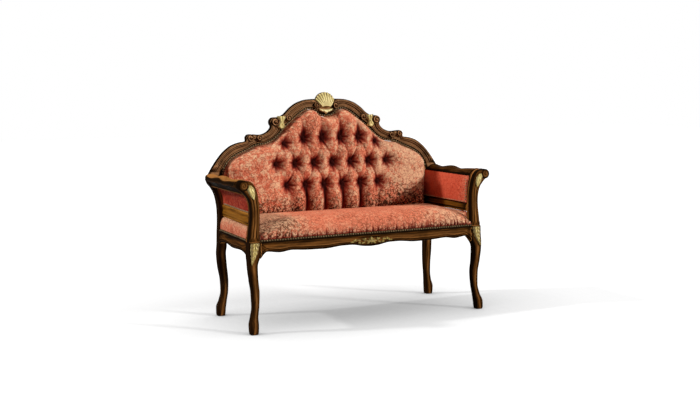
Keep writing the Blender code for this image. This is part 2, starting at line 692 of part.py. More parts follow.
def make_crest():
    rings = []
    last = (len(CREST_RIBS) - 1) * RIB_STEPS
    for k in range(-last, last + 1):
        ends = rib_ends(CREST_RIBS, abs(k) / RIB_STEPS)
        rings.append(rib_ring(ends, crest_relief(ends[0][0]), -1 if k < 0 else 1))
    crest = loft("crest_rail", rings, WALNUT)
    for side, sign in SIDES:
        for name, x, z, radius, rise in CREST_SCROLLS:
            eye = (sign * drawn_x(x), back_y(drawn_z(z)), drawn_z(z))
            scroll_boss(crest, f"{name}_{side}", eye, (0, -1, BACK_LEAN), radius, rise)


def make_shoulders():
    for side, sign in SIDES:
        rings = []
        last = (len(SHOULDER_RIBS) - 1) * RIB_STEPS
        for k in range(last + 1):
            (ix, iz), (ox, oz) = rib_ends(SHOULDER_RIBS, k / RIB_STEPS)
            if k == last:
                iz = oz = POST_TOP + FIT
            rings.append(rib_ring(((ix, iz), (ox, oz)), shoulder_relief(min(iz, oz)), sign))
        shoulder = loft(f"back_shoulder_{side}", rings, WALNUT)
        x, z, radius, rise = EAR_SCROLL
        eye = (sign * drawn_x(x), back_y(drawn_z(z)), drawn_z(z))
        scroll_boss(shoulder, f"ear_scroll_{side}", eye, (0, -1, BACK_LEAN), radius, rise)


def make_lower_back_rail():
    low = RAIL_TOP + BACK_RAIL_LOW
    top = low + BACK_RAIL_DEEP
    rings = []
    for sign in (-1, 1):
        ring = []
        for z, set_back in ((low, 0.0), (top, 0.0), (top, BACK_RAIL_THICK), (low, BACK_RAIL_THICK)):
            x = post_faces(z)[0] - FIT
            ring.append((sign * x, back_y(z) + BACK_RAIL_SET + set_back, z))
        rings.append(ring)
    loft("lower_back_rail", rings, BEECH)


def leaf_ring(centre, across, out, half, rise):
    """Section of a carved leaf: a flat back, two swelling halves and a sunk vein."""
    profile = ((-1, 0), (1, 0), (0.92, 0.45), (0.5, 1.0), (0.0, 0.6), (-0.5, 1.0), (-0.92, 0.45))
    return [tuple(centre + across * (half * a) + out * (FIT + rise * d)) for a, d in profile]


def make_shell():
    hinge = CREST_TOP - SHELL_DROP
    rings = []
    steps = SHELL_RIBS * 4
    for k in range(steps + 1):
        turn = SHELL_SPREAD * (2 * k / steps - 1)
        rib = abs(math.sin(math.pi * k / 4))
        reach = SHELL_RADIUS * (1 - 0.2 * (turn / SHELL_SPREAD) ** 2) * (0.94 + 0.06 * rib)
        ring = []
        for share, rise in (
            (0.14, 0.0), (1.0, 0.0), (1.0, 0.005), (0.85, 0.012 + 0.004 * rib),
            (0.5, 0.016 + 0.003 * rib), (0.14, 0.017),
        ):
            x = reach * share * math.sin(turn)
            z = hinge + reach * share * math.cos(turn)
            ring.append(on_back(x, z, FIT + rise))
        rings.append(ring)
    loft("crest_shell", rings, GILT)


# Leaves: share along the leaf and half width
CREST_LEAF = ((0.0, 0.006), (0.3, 0.012), (0.65, 0.010), (1.0, 0.002))
ARM_LEAF = ((0.0, 0.006), (0.25, 0.0140), (0.6, 0.0115), (1.0, 0.0015))
KNEE_LEAF = ((0.0, 0.0165), (0.3, 0.0150), (0.7, 0.0085), (1.0, 0.0015))
RAIL_SPRAY = ((0.0, 0.0135), (0.12, 0.0125), (0.35, 0.0085), (0.7, 0.0065), (1.0, 0.0015))
LEAF_STEPS = 8
CREST_LEAF_ENDS = ((0.2385, 0.9410), (0.2500, 0.8890))  # drawn places of its root and tip
KNEE_LEAF_TOP = 0.006    # root of the knee leaf below the rail's top
KNEE_LEAF_LONG = 0.086
KNEE_LEAF_SHIFT = 0.003  # root of the knee leaf towards the outside of the leg
ARM_LEAF_ENDS = ((0.0150, 0.030), (-0.0060, 0.098))  # across from the leg, below the arm's top
SPRAY_HALF = 0.114
SPRAY_DROP = 0.030       # middle of the spray below the rail's top


def make_leaves():
    out_of_front = Vector((0, -1, 0))
    sideways = Vector((1, 0, 0))
    for side, sign in SIDES:
        rings = []
        root, tip = (Vector(on_back(drawn_x(x), drawn_z(z), MOULDING_RISE)) for x, z in CREST_LEAF_ENDS)
        run = (tip - root).normalized()
        out = Vector((0, -1, BACK_LEAN)).normalized()
        for k in range(LEAF_STEPS + 1):
            t = k / LEAF_STEPS
            half = between(CREST_LEAF, t)[0]
            ring = leaf_ring(root.lerp(tip, t), run.cross(out), out, half, LEAF_RISE)
            rings.append(flip(ring, sign))
        loft(f"crest_leaf_{side}", rings, GILT)

        rings = []
        for k in range(LEAF_STEPS + 1):
            t = k / LEAF_STEPS
            across = ARM_LEAF_ENDS[0][0] + (ARM_LEAF_ENDS[1][0] - ARM_LEAF_ENDS[0][0]) * t
            below = ARM_LEAF_ENDS[0][1] + (ARM_LEAF_ENDS[1][1] - ARM_LEAF_ENDS[0][1]) * t
            centre = Vector((LEG_X + across, SUPPORT_FRONT, ARM_TOP - below))
            ring = leaf_ring(centre, sideways, out_of_front, between(ARM_LEAF, t)[0], LEAF_RISE)
            rings.append(flip(ring, sign))
        loft(f"arm_leaf_{side}", rings, GILT)

        rings = []
        for k in range(LEAF_STEPS + 1):
            t = k / LEAF_STEPS
            z = RAIL_TOP - KNEE_LEAF_TOP - KNEE_LEAF_LONG * t
            x0, x1, y0, _, _ = front_leg_faces(z)
            centre = Vector(((x0 + x1) / 2 + KNEE_LEAF_SHIFT * (1 - t), y0, z))
            ring = leaf_ring(centre, sideways, out_of_front, between(KNEE_LEAF, t)[0], LEAF_RISE)
            rings.append(flip(ring, sign))
        loft(f"knee_leaf_{side}", rings, GILT)

    rings = []
    for k in range(-LEAF_STEPS, LEAF_STEPS + 1):
        t = k / LEAF_STEPS
        centre = Vector((SPRAY_HALF * t, FRONT_Y, RAIL_TOP - SPRAY_DROP))
        half = between(RAIL_SPRAY, abs(t))[0]
        rise = LEAF_RISE * (1.2 - 0.4 * abs(t))
        rings.append(leaf_ring(centre, Vector((0, 0, 1)), out_of_front, half, rise))
    loft("front_rail_spray", rings, GILT)


def rounded(distance, width):
    """A quarter round from 0 at an edge to 1 at a distance from it."""
    share = min(max(distance / width, 0.0), 1.0)
    return math.sqrt(1 - (1 - share) ** 2)


# Seat pad in plan: shares of its half length up to the arm supports and of its depth behind them
SEAT_ACROSS = (0.0, 0.16, 0.32, 0.48, 0.64, 0.785, 0.89, 0.955, 0.985, 1.0)
SEAT_WINGS = (0.35, 0.75, 1.0)
SEAT_FRONT_ROWS = (0.0, 0.24, 0.62)
SEAT_ROWS = (0.0, 0.03, 0.09, 0.235, 0.42, 0.61, 0.775, 0.885, 0.95, 0.984, 1.0)


def seat_side(y):
    """Outer edge of the seat pad at a depth."""
    return side_rail_faces(y)[0] - SEAT_MARGIN


def seat_notch():
    """Inner and back face of the cut-out in a front corner, round an arm support."""
    return LEG_X + SUPPORT_EDGES[0][1] - SEAT_GAP, SUPPORT_BACK + SEAT_GAP


def make_seat_pad():
    notch_x, notch_y = seat_notch()
    front = SUPPORT_FRONT + SEAT_SET
    back = REAR_Y - SEAT_BACK_GAP
    across = [notch_x * share for share in SEAT_ACROSS]
    depths = [front + (notch_y - front) * share for share in SEAT_FRONT_ROWS]
    depths += [notch_y + (back - notch_y) * share for share in SEAT_ROWS]
    columns = [-x for x in across[:0:-1]] + across
    bottom = RAIL_TOP + FIT
    tops = []
    lows = []
    for y in depths:
        side = seat_side(max(y, notch_y))
        wings = [notch_x + (side - notch_x) * share for share in SEAT_WINGS]
        row = [-x for x in wings[::-1]] + columns + wings
        top_row = []
        for x in row:
            to_notch = math.hypot(max(notch_x - abs(x), 0), max(y - notch_y, 0))
            to_front = y - front if abs(x) <= notch_x else to_notch
            to_side = SEAT_SIDE_EASE * (side - abs(x))
            to_back = SEAT_BACK_EASE * (back - y)
            edge = min(to_side, to_front, to_notch, to_back)
            swell = 0.62 * rounded(edge, SEAT_SHOULDER) + 0.38 * rounded(edge, SEAT_ROUND)
            top_row.append((x, y, bottom + SEAT_EDGE + SEAT_CROWN * swell))
        tops.append(top_row)
        lows.append([(x, y, bottom) for x in row])
    wing = len(SEAT_WINGS)
    total = len(tops[0]) - 1

    def cut(i, j):
        return i < len(SEAT_FRONT_ROWS) and (j < wing or j >= total - wing)

    sheet("seat_pad", tops, lows, cut, DAMASK)


def pad_half(z):
    """Half width of the back pad at a height."""
    return (post_faces(z)[0] if z < POST_TOP else back_half()) - PAD_GAP


def pad_top(share):
    """Upper edge of the back pad at a share of its half width."""
    x = abs(share) * back_half()
    beside = (max(x - 2 * PAD_GAP, 0.0), min(x + 2 * PAD_GAP, back_half()))
    return min(inner_edge(place) for place in beside) - PAD_GAP


def row_height(share, row):
    """Height on the back pad: rows 0 to 3 run from its foot to the top buttons, 4 is its upper edge."""
    low = PAD_FOOT + FIT
    top = pad_top(share)
    heights = [low]
    for lift, limit in zip(ROW_LIFT, ROW_LIMIT):
        heights.append(low + min(lift, limit * (top - low)))
    heights.append(top)
    step = min(int(row), 3)
    return heights[step] + (heights[step + 1] - heights[step]) * (row - step)


def button_places():
    """Every button as (share across, row)."""
    half_pitch = BUTTON_PITCH / 2 / back_half()
    places = []
    for row, count in ((3, 6), (2, 7), (1, 6)):
        for k in range(count):
            places.append(((2 * k - count + 1) * half_pitch, row))
    return places


def pad_swell(share, row):
    """Rise of the back pad before it is buttoned, and how much of a tuft's depth its edge leaves."""
    z = row_height(share, row)
    x = share * back_half()
    top = pad_top(share)
    beside = 0.03
    slope = (top - pad_top(min(abs(share) + beside, 1.0))) / (beside * back_half())
    below_top = (top - z) / math.hypot(1.0, slope)
    edge = min(below_top, back_half() - PAD_TUCK - abs(x), z - PAD_FOOT + PAD_FOOT_EASE)
    swell = BACK_SWELL * (0.5 * rounded(edge, PAD_SHOULDER) + 0.5 * rounded(edge, BACK_ROUND))
    return max(swell, PAD_EDGE), rounded(edge, TUFT_ROOM)


def fold_depth(share, row):
    """Share of the folds' depth at a place: diagonal between the buttons, upright above and below."""
    a = 2 * share * back_half() / BUTTON_PITCH
    b = min(max(row - 2.0, -1.0), 1.0)
    pillow = math.sqrt(abs(math.sin(math.pi * (a + b) / 2) * math.sin(math.pi * (a - b) / 2)))
    fade = min(max(6.2 - abs(a) - 0.8 * abs(b), 0.0), 1.0)
    if row > 3:
        fade *= 4 - row
    if row < 1:
        fade *= 0.4 + 0.6 * row
    return fade * (1 - pillow)


def button_seats():
    """Every button's seat as (place, height, rise of its flat bottom)."""
    seats = []
    for share, row in button_places():
        swell, room = pad_swell(share, row)
        seats.append((share * back_half(), row_height(share, row), swell - TUFT_DEPTH * room))
    return seats


def pad_rise(share, row, seats):
    """How far the back pad stands in front of the frame."""
    swell, room = pad_swell(share, row)
    rise = max(swell - TUFT_DEPTH * CREASE_SHARE * fold_depth(share, row) * room, PAD_EDGE)
    z = row_height(share, row)
    for seat_x, seat_z, level in seats:
        gap = math.hypot(share * back_half() - seat_x, z - seat_z)
        near = math.exp(-((max(gap - TUFT_FLAT, 0.0) / TUFT_SPREAD) ** 2))
        rise += (level - rise) * near
    return rise


def pad_columns():
    """Shares across the back pad: four columns to each half pitch, then wider ones to the ends."""
    half_pitch = BUTTON_PITCH / 2 / back_half()
    seat = BUTTON_SEAT / back_half()
    shares = [0.0]
    for k in range(6):
        start = k * half_pitch
        shares += [start + seat, start + half_pitch / 2, start + half_pitch - seat, start + half_pitch]
    shares.append(shares[-1] + seat)
    rest = 1.0 - PAD_TUCK / back_half() - shares[-1]
    shares += [shares[-1] + rest * t for t in (0.45, 0.85, 1.0)] + [1.0]
    return [-share for share in shares[:0:-1]] + shares


def make_back_pad():
    last_button = max(share for share, _ in button_places())
    heights = [row_height(last_button, row) for row in range(5)]
    middle_seat = BUTTON_SEAT / (row_height(0.0, 4) - row_height(0.0, 3))
    rows = [0.0, 0.22, 0.55]
    for k in range(1, 4):
        below = BUTTON_SEAT / (heights[k] - heights[k - 1])
        above = BUTTON_SEAT / (heights[k + 1] - heights[k])
        rows += [k - below, k, k + above]
        rows.append(k + 0.5 if k < 3 else k + middle_seat)
    rows += [3.56, 3.8, 4.0]
    seats = button_seats()
    front = []
    for row in sorted(rows):
        front_row = []
        for share in pad_columns():
            z = row_height(share, row)
            x = share * pad_half(z)
            front_row.append(on_back(x, z, pad_rise(share, row, seats)))
        front.append(front_row)
    cushion("back_pad", front, lambda point: on_back(point.x, point.z, -PAD_SEAT), DAMASK)


def make_buttons():
    out = Vector((0, -1, BACK_LEAN)).normalized()
    across = Vector((1, 0, 0))
    up = out.cross(across) * -1
    rows = {3: "upper", 2: "middle", 1: "lower"}
    counts = {}
    for (share, row), (_, z, level) in zip(button_places(), button_seats()):
        counts[row] = counts.get(row, 0) + 1
        centre = Vector(on_back(share * pad_half(z), z, level + FIT))
        rings = []
        for size, rise in ((0.86, 0.0), (1.0, 0.4), (0.8, 0.8), (0.4, 1.0)):
            ring = []
            for k in range(8):
                turn = 2 * math.pi * k / 8
                arm = across * math.cos(turn) + up * math.sin(turn)
                ring.append(tuple(centre + arm * BUTTON_RADIUS * size + out * BUTTON_RISE * rise))
            rings.append(ring)
        loft(f"back_button_{rows[row]}_{counts[row]}", rings, DAMASK)


ARM_PAD_RINGS = 12
ARM_PAD_LAP = 0.013      # the arm pad's cover laps this far down the inside of the stretcher
ARM_PAD_LIP = 0.004      # thickness of that lap


def make_arm_pads():
    stretcher_top = RAIL_TOP + STRETCHER_LOW + STRETCHER_DEEP + FIT
    rail_low = ARM_TOP - ARM_DEEP - FIT
    for side, sign in SIDES:
        rings = []
        for k in range(ARM_PAD_RINGS + 1):
            share = k / ARM_PAD_RINGS
            full = min(rounded(share, 0.12), rounded(1 - share, 0.3))
            inner, outer = stretcher_faces(share)
            shift = ARM_SHIFT * share
            crown = ARM_PAD_SWELL * (0.25 + 0.75 * full)
            arm_low = LEG_X + ARM_SECTION[0][0] - shift - FIT
            arm_high = LEG_X + ARM_SECTION[1][0] - shift - FIT
            arm_out = LEG_X + ARM_SECTION[-1][0] - shift
            mid = (stretcher_top + rail_low) / 2
            section = (
                (inner - FIT, stretcher_top), (outer - 0.004, stretcher_top),
                (outer - 0.001, mid), (outer + (arm_out - outer) * 0.45, rail_low),
                (arm_low, rail_low), (arm_low, rail_low + 2 * FIT),
                (arm_high, ARM_TOP - ARM_SECTION[1][1]),
                (arm_high - 0.006, rail_low + 0.034), (arm_low - 0.8 * crown, rail_low + 0.012),
                (inner - crown, mid + 0.018), (inner - crown, mid - 0.014),
                (inner - 0.75 * crown, stretcher_top),
                (inner - ARM_PAD_LIP, stretcher_top - ARM_PAD_LAP),
                (inner - FIT, stretcher_top - ARM_PAD_LAP + 0.001),
            )
            ring = []
            for x, z in section:
                y = arm_station(share, ARM_TOP - z) - (PAD_EDGE + FIT) * share
                ring.append((x, y, z))
            rings.append(flip(ring, sign))
        loft(f"arm_pad_{side}", rings, DAMASK)


def lattice(across, down, point, name, thick, material):
    """Straps crossed into one mat: point(x, along, lift) places a corner of the mat."""
    front = [[point(x, row, 0.0) for x in across] for row in down]
    back = [[point(x, row, thick) for x in across] for row in down]
    sheet(name, front, back, lambda i, j: i % 2 == 1 and j % 2 == 1, material)


def strap_edges(first, last, count, width):
    """Edges of evenly spaced straps between two places."""
    step = (last - first - width) / (count - 1)
    edges = []
    for k in range(count):
        edges += [first + step * k, first + step * k + width]
    return edges


def make_webbing():
    front = FRONT_Y + RAIL_THICK - REBATE + FIT
    back = REAR_RAIL_Y + REBATE - FIT
    half = REAR_X - POST_IN - BLOCK_LEG / 2
    lattice(
        strap_edges(-half, half, 9, SEAT_STRAP), strap_edges(front, back, 4, SEAT_STRAP),
        lambda x, y, lift: (x, y, WEB_LEDGE + FIT + lift), "seat_webbing", WEB_THICK, JUTE,
    )
    half = back_half() * 0.86

    def on_frame(x, row, lift):
        z = PAD_FOOT + FIT + (pad_top(x / back_half()) - WEB_DROP - PAD_FOOT) * row
        return (x, back_y(z) + PAD_SEAT + FIT + lift, z)

    strap = BACK_STRAP / (CREST_TOP - PAD_FOOT)
    lattice(
        strap_edges(-half, half, 9, BACK_STRAP), strap_edges(0.0, 1.0, 4, strap), on_frame,
        "back_webbing", WEB_THICK, JUTE,
    )


COVER_COLUMNS = 24       # columns across half the outside back cover
COVER_ROWS = 5


def make_covers():
    shares = [k / COVER_COLUMNS for k in range(-COVER_COLUMNS, COVER_COLUMNS + 1)]
    low = RAIL_TOP + FIT
    front = []
    back = []
    for k in range(COVER_ROWS + 1):
        front_row = []
        back_row = []
        for share in shares:
            z = low + (pad_top(share) - low) * k / COVER_ROWS
            x = share * pad_half(z)
            set_back = CREST_THICK - COVER_SINK
            front_row.append((x, back_y(z) + set_back - COVER_THICK, z))
            back_row.append((x, back_y(z) + set_back, z))
        front.append(front_row)
        back.append(back_row)
    sheet("outside_back_cover", front, back, lambda i, j: False, DAMASK)

    top = BLOCK_TOP - BLOCK_TALL - FIT
    front_y = FRONT_Y + RAIL_THICK + FIT
    back_edge = REAR_RAIL_Y - FIT
    leg_x = LEG_X - BLOCK_IN - FIT
    post_x = REAR_X - POST_IN - FIT
    outline = [(-leg_x, front_y), (leg_x, front_y), (post_x, back_edge), (-post_x, back_edge)]
    loft("dust_cover", [[(x, y, z) for x, y in outline] for z in (top - DUST_THICK, top)], CAMBRIC)


def make_gimps():
    foot = RAIL_TOP + FIT
    back = SUPPORT_FRONT + SEAT_SET - FIT
    half = seat_notch()[0]
    section = (
        (back, foot), (back - GIMP_THICK, foot + GIMP_EASE),
        (back - GIMP_THICK, foot + SEAT_GIMP_WIDE - GIMP_EASE), (back, foot + SEAT_GIMP_WIDE),
    )
    loft("seat_gimp", [[(x, y, z) for y, z in section] for x in (-half, half)], BRAID)

    stops = []
    last = (len(SHOULDER_RIBS) - 1) * RIB_STEPS
    for k in range(last - 2, 0, -1):
        stops.append(rib_ends(SHOULDER_RIBS, k / RIB_STEPS))
    last = (len(CREST_RIBS) - 1) * RIB_STEPS
    for k in range(last, -1, -1):
        stops.append(rib_ends(CREST_RIBS, k / RIB_STEPS))
    path = [(-1, stop) for stop in stops] + [(1, stop) for stop in stops[-2::-1]]
    rings = []
    for sign, ((ix, iz), (ox, oz)) in path:
        width = math.hypot(ox - ix, oz - iz)
        ring = []
        outer = GIMP_MARGIN + GIMP_WIDE
        for margin, rise in ((GIMP_MARGIN, 0), (GIMP_MARGIN, 1), (outer, 1), (outer, 0)):
            t = margin / width
            x, y, z = on_back(ix + (ox - ix) * t, iz + (oz - iz) * t, FIT + GIMP_THICK * rise)
            ring.append((sign * x, y, z))
        rings.append(ring)
    loft("back_gimp", rings, BRAID)


make_legs()
make_rails()
make_corner_blocks()
make_arm_supports()
make_arm_rails()
make_arm_stretchers()
make_crest()
make_shoulders()
make_lower_back_rail()
make_shell()
make_leaves()
make_seat_pad()
make_back_pad()
make_buttons()
make_arm_pads()
make_webbing()
make_covers()
make_gimps()
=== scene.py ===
"""Looks of the rococo-revival settee: carved walnut, parcel gilding and buttoned damask.

Metres, +Z up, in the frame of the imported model. Pieces are drawn for the right-hand side and mirrored.
"""

import math

import bmesh
import bpy
import numpy as np
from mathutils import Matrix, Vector, noise


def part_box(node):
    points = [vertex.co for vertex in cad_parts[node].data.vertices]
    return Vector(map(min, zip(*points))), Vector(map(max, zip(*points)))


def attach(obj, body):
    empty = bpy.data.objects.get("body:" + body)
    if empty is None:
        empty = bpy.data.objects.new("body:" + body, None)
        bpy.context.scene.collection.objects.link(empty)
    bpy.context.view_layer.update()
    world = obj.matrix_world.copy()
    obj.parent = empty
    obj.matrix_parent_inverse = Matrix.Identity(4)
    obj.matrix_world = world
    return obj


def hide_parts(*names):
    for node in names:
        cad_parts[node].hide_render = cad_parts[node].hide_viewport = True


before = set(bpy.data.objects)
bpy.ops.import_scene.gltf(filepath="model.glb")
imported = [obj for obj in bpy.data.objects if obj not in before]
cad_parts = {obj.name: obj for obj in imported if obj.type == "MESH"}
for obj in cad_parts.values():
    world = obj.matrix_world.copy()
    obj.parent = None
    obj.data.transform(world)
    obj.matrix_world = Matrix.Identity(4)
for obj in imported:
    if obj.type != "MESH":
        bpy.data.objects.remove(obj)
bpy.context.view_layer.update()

# Camera of the photograph
CAMERA_PLACE = (-2.512, -4.784, 1.164)
CAMERA_TILT = math.radians(90 - 6.563)
CAMERA_TURN = math.radians(-27.859)
CAMERA_LENS = 58.08

# Sizes of the frame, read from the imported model
BLOCK_IN = 0.035         # leg block, from the leg's centreline to the front rail
POST_WAIST = 0.0265      # rear post, from the leg's centreline to its narrowest inner face
FIT = 0.0003             # gap kept between pieces that touch
RAIL_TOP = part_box("front_seat_rail")[1][2]
FRONT_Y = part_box("front_seat_rail")[0][1]
RAIL_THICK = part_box("front_seat_rail")[1][1] - FRONT_Y
LEG_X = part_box("front_leg_right")[0][0] + BLOCK_IN
REAR_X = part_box("rear_leg_right")[0][0] + POST_WAIST
POST_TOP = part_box("rear_leg_right")[1][2]
SCROLL_END, SUPPORT_BACK, ARM_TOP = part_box("arm_support_right")[1]
SUPPORT_FRONT = FRONT_Y + 0.002
_, BACK_END, CREST_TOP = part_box("crest_rail")[1]

# Sizes of the carving and the upholstery
BACK_LEAN = 0.1          # the back frame's set-back for each metre of rise
CREST_THICK = 0.0315
CREST_TAPER = 0.016
MOULDING_RISE = 0.0135
FLANGE = 0.0095          # plain inner edge of the crest, under the gimp
BLOCK_DEEP = 0.0435
POST_IN = 0.024
POST_DEEP = 0.043
TOE_REACH = 0.0245
REBATE = 0.012           # ledge that the seat's webbing lies on
REAR_RAIL_SET = 0.006
REAR_RAIL_DEEP = 0.054
SCROLL_RADIUS = 0.0235
ARM_DEEP = 0.068
ARM_SHIFT = 0.0065       # how far the arm comes in towards the back
STRETCHER_LOW = 0.067
STRETCHER_DEEP = 0.057
WEB_THICK = 0.0022
PAD_GAP = 0.0012
PAD_TUCK = 0.021
PAD_EDGE = 0.002
PAD_SEAT = 0.010         # depth of the back pad behind the frame's front face
BACK_SWELL = 0.076
BACK_ROUND = 0.085
PAD_SHOULDER = 0.035
TUFT_DEPTH = 0.032
TUFT_ROOM = 0.05
TUFT_FULL = 0.005        # swell of the pillows between the buttons
BUTTON_PITCH = 0.101
BUTTON_RADIUS = 0.0092
BUTTON_RISE = 0.006
BUTTON_ROWS = ((3, 6, "upper"), (2, 7, "middle"), (1, 6, "lower"))
ROW_LIFT = (0.139, 0.243, 0.362)
ROW_LIMIT = (0.40, 0.74, 0.90)
SEAT_EDGE = 0.024
SEAT_CROWN = 0.064
NAIL_RADIUS = 0.0035
NAIL_PITCH = 0.0126

WEB_LEDGE = RAIL_TOP - WEB_THICK - 2 * FIT
BLOCK_BACK = FRONT_Y + BLOCK_DEEP
PAD_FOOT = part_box("lower_back_rail")[1][2]
SIDES = (("left", -1), ("right", 1))
AHEAD = Vector((0, -1, 0))
SIDEWAYS = Vector((1, 0, 0))
BACK_OUT = Vector((0, -1, BACK_LEAN))


def back_y(z):
    """Front face of the back frame at a height."""
    return BACK_END - CREST_THICK - BACK_LEAN * (CREST_TOP - CREST_TAPER - z)


REAR_Y = back_y(RAIL_TOP)
REAR_RAIL_Y = REAR_Y + REAR_RAIL_SET


def past(value, start, width):
    """How far a value lies past a start, as a share of a width, from 0 to 1."""
    return np.clip((value - start) / width, 0.0, 1.0)


def bell(value, width):
    """1 at zero, falling off smoothly on both sides."""
    return np.exp(-(value / width) ** 2)


def between(stations, at):
    """Smooth values at a place along stations (place, value, value, ...), with no overshoot."""
    i = 0
    while i < len(stations) - 2 and at > stations[i + 1][0]:
        i += 1
    span = stations[i + 1][0] - stations[i][0]
    s = min(max((at - stations[i][0]) / span, 0.0), 1.0)

    def rate(n, k):
        return (stations[n + 1][k] - stations[n][k]) / (stations[n + 1][0] - stations[n][0])

    def slope(n, k):
        if n in (0, len(stations) - 1):
            return rate(min(n, len(stations) - 2), k)
        before = rate(n - 1, k)
        after = rate(n, k)
        return 2 * before * after / (before + after) if before * after > 0 else 0.0

    values = []
    for k in range(1, len(stations[0])):
        bend = slope(i, k) * span * s * (1 - s) ** 2 - slope(i + 1, k) * span * s * s * (1 - s)
        ends = stations[i][k] * (1 + 2 * s) * (1 - s) ** 2 + stations[i + 1][k] * s * s * (3 - 2 * s)
        values.append(ends + bend)
    return values


def resample(points, count):
    """A smooth open line through the points, as evenly spaced points."""
    stations = [(0.0, *points[0])]
    for near, far in zip(points, points[1:]):
        stations.append((stations[-1][0] + max(math.dist(near, far), 1e-6), *far))
    return [between(stations, stations[-1][0] * k / (count - 1)) for k in range(count)]


def smooth_ring(points, each):
    """A closed ring rounded through its corner points."""
    total = len(points)
    ring = []
    for i in range(total):
        p0, p1, p2, p3 = (np.array(points[(i + k - 1) % total]) for k in range(4))
        for k in range(each):
            t = k / each
            bend = 2 * p0 - 5 * p1 + 4 * p2 - p3
            twist = 3 * p1 - p0 - 3 * p2 + p3
            ring.append(tuple(0.5 * (2 * p1 + (p2 - p0) * t + bend * t * t + twist * t ** 3)))
    return ring


# Materials


class Nodes:
    """A node tree in the making."""

    def __init__(self, tree):
        self.tree = tree

    def feed(self, socket, value):
        if isinstance(value, bpy.types.NodeSocket):
            self.tree.links.new(value, socket)
        else:
            socket.default_value = value

    def node(self, kind, inputs=None, **settings):
        made = self.tree.nodes.new("ShaderNode" + kind)
        for key, value in settings.items():
            setattr(made, key, value)
        for key, value in (inputs or {}).items():
            self.feed(made.inputs[key], value)
        return made

    def place(self):
        return self.node("TexCoord").outputs["Object"]

    def attribute(self, name, output="Fac"):
        return self.node("Attribute", attribute_name=name).outputs[output]

    def vector(self, operation, a, b):
        return self.node("VectorMath", {0: a, 1: b}, operation=operation).outputs[0]

    def noise(self, vector, scale, detail=4.0, rough=0.55, twist=0.0, output=0):
        inputs = {"Vector": vector, "Scale": scale, "Detail": detail, "Roughness": rough, "Distortion": twist}
        return self.node("TexNoise", inputs).outputs[output]

    def math(self, operation, *values, clamp=False):
        return self.node("Math", dict(enumerate(values)), operation=operation, use_clamp=clamp).outputs[0]

    def times(self, a, b):
        return self.math("MULTIPLY", a, b)

    def total(self, *terms):
        """A sum of values, each with its weight."""
        made = 0.0
        for value, weight in terms:
            made = self.math("ADD", made, self.times(value, weight))
        return made

    def span(self, value, low, high, to_low=0.0, to_high=1.0):
        """A value's place between two limits, smoothly."""
        inputs = {0: value, 1: low, 2: high, 3: to_low, 4: to_high}
        return self.node("MapRange", inputs, interpolation_type="SMOOTHSTEP").outputs[0]

    def ramp(self, value, stops):
        made = self.node("ValToRGB", {0: value})
        while len(made.color_ramp.elements) < len(stops):
            made.color_ramp.elements.new(1.0)
        for element, (place, colour) in zip(made.color_ramp.elements, stops):
            element.position = place
            element.color = (*colour, 1.0)
        return made.outputs[0]

    def mix(self, factor, a, b):
        made = self.node("Mix", data_type="RGBA")
        for index, value in ((0, factor), (6, a), (7, b)):
            self.feed(made.inputs[index], (*value, 1.0) if isinstance(value, tuple) else value)
        return made.outputs[2]

    def bump(self, height, distance, strength, under=None):
        inputs = {"Height": height, "Distance": distance, "Strength": strength}
        if under is not None:
            inputs["Normal"] = under
        return self.node("Bump", inputs).outputs[0]

    def seen(self):
        """1 for the rays that see the background: from the camera, in reflections and through glass."""
        path = self.node("LightPath").outputs
        seen = self.math("ADD", path["Is Camera Ray"], path["Is Glossy Ray"])
        return self.math("ADD", seen, path["Is Transmission Ray"], clamp=True)


class Finish(Nodes):
    """A material in the making, with the name of a slot in the record, which this script does not use."""

    def __init__(self, name, slot=None):
        self.material = bpy.data.materials.new(name)
        self.material.use_nodes = True
        self.slot = slot
        super().__init__(self.material.node_tree)

    def surface(self, **sockets):
        shader = self.tree.nodes["Principled BSDF"]
        for key, value in sockets.items():
            self.feed(shader.inputs[key.replace("_", " ")], value)


WOOD_POLISH = 0.0006     # specular level: a white room would turn the dark wood grey
# stain in the wood's recesses, and painted shade on faces turned from the light
STAIN_AND_SHADE = (0.0075, 0.0034, 0.0014)
PATINA = (0.16, 0.095, 0.028)
SPECK = (0.24, 0.14, 0.05)
# painted shade for the damask's folds, pits and shaded faces, and its deepest
FOLD_SHADE = (0.24, 0.018, 0.010)
FOLD_SHADE_DEEP = (0.026, 0.0018, 0.0012)
SHEEN_TINT = (1.0, 0.62, 0.42, 1.0)
LEAF_SCALE = 46.0        # damask leaves in a metre
WEAVE_SCALE = 190.0


def walnut_finish(name, deep, middle, light, worn):
    """Stained and lacquered walnut: grain along the piece; ridges and faces marked lit are lighter, as rubbed
    wear and painted highlight, and recesses and faces marked shaded are darker, as stain and painted shade.
    """
    made = Finish(name, "walnut")
    grain = made.attribute("grain", "Vector")
    relief = made.attribute("relief")
    figure = made.noise(made.vector("MULTIPLY", grain, (7.0, 85.0, 1.0)), 1.0, 5.0, 0.6, 0.6)
    cloud = made.noise(grain, 9.0, 3.0)
    pores = made.noise(made.vector("MULTIPLY", grain, (60.0, 1100.0, 1.0)), 1.0, 3.0)
    colour = made.ramp(figure, ((0.30, deep), (0.50, middle), (0.70, light)))
    # lighter where the relief is proud or marked lit: rubbed wear and painted highlight
    lit_or_rubbed = made.times(made.span(relief, 0.02, 0.55), made.span(cloud, 0.2, 0.55))
    colour = made.mix(made.times(lit_or_rubbed, 0.85), colour, worn)
    # darker where it is sunk or marked shaded: stain and painted shade
    colour = made.mix(made.span(relief, -0.03, -0.5, 0.0, 0.97), colour, STAIN_AND_SHADE)
    colour = made.mix(made.span(pores, 0.60, 0.75, 0.0, 0.45), colour, deep)
    skin = made.bump(figure, 0.0006, 0.2, made.bump(pores, 0.0003, 0.2))
    made.surface(Base_Color=colour, Roughness=made.span(cloud, 0.3, 0.7, 0.24, 0.40), Normal=skin)
    made.surface(Specular_IOR_Level=WOOD_POLISH)
    return made


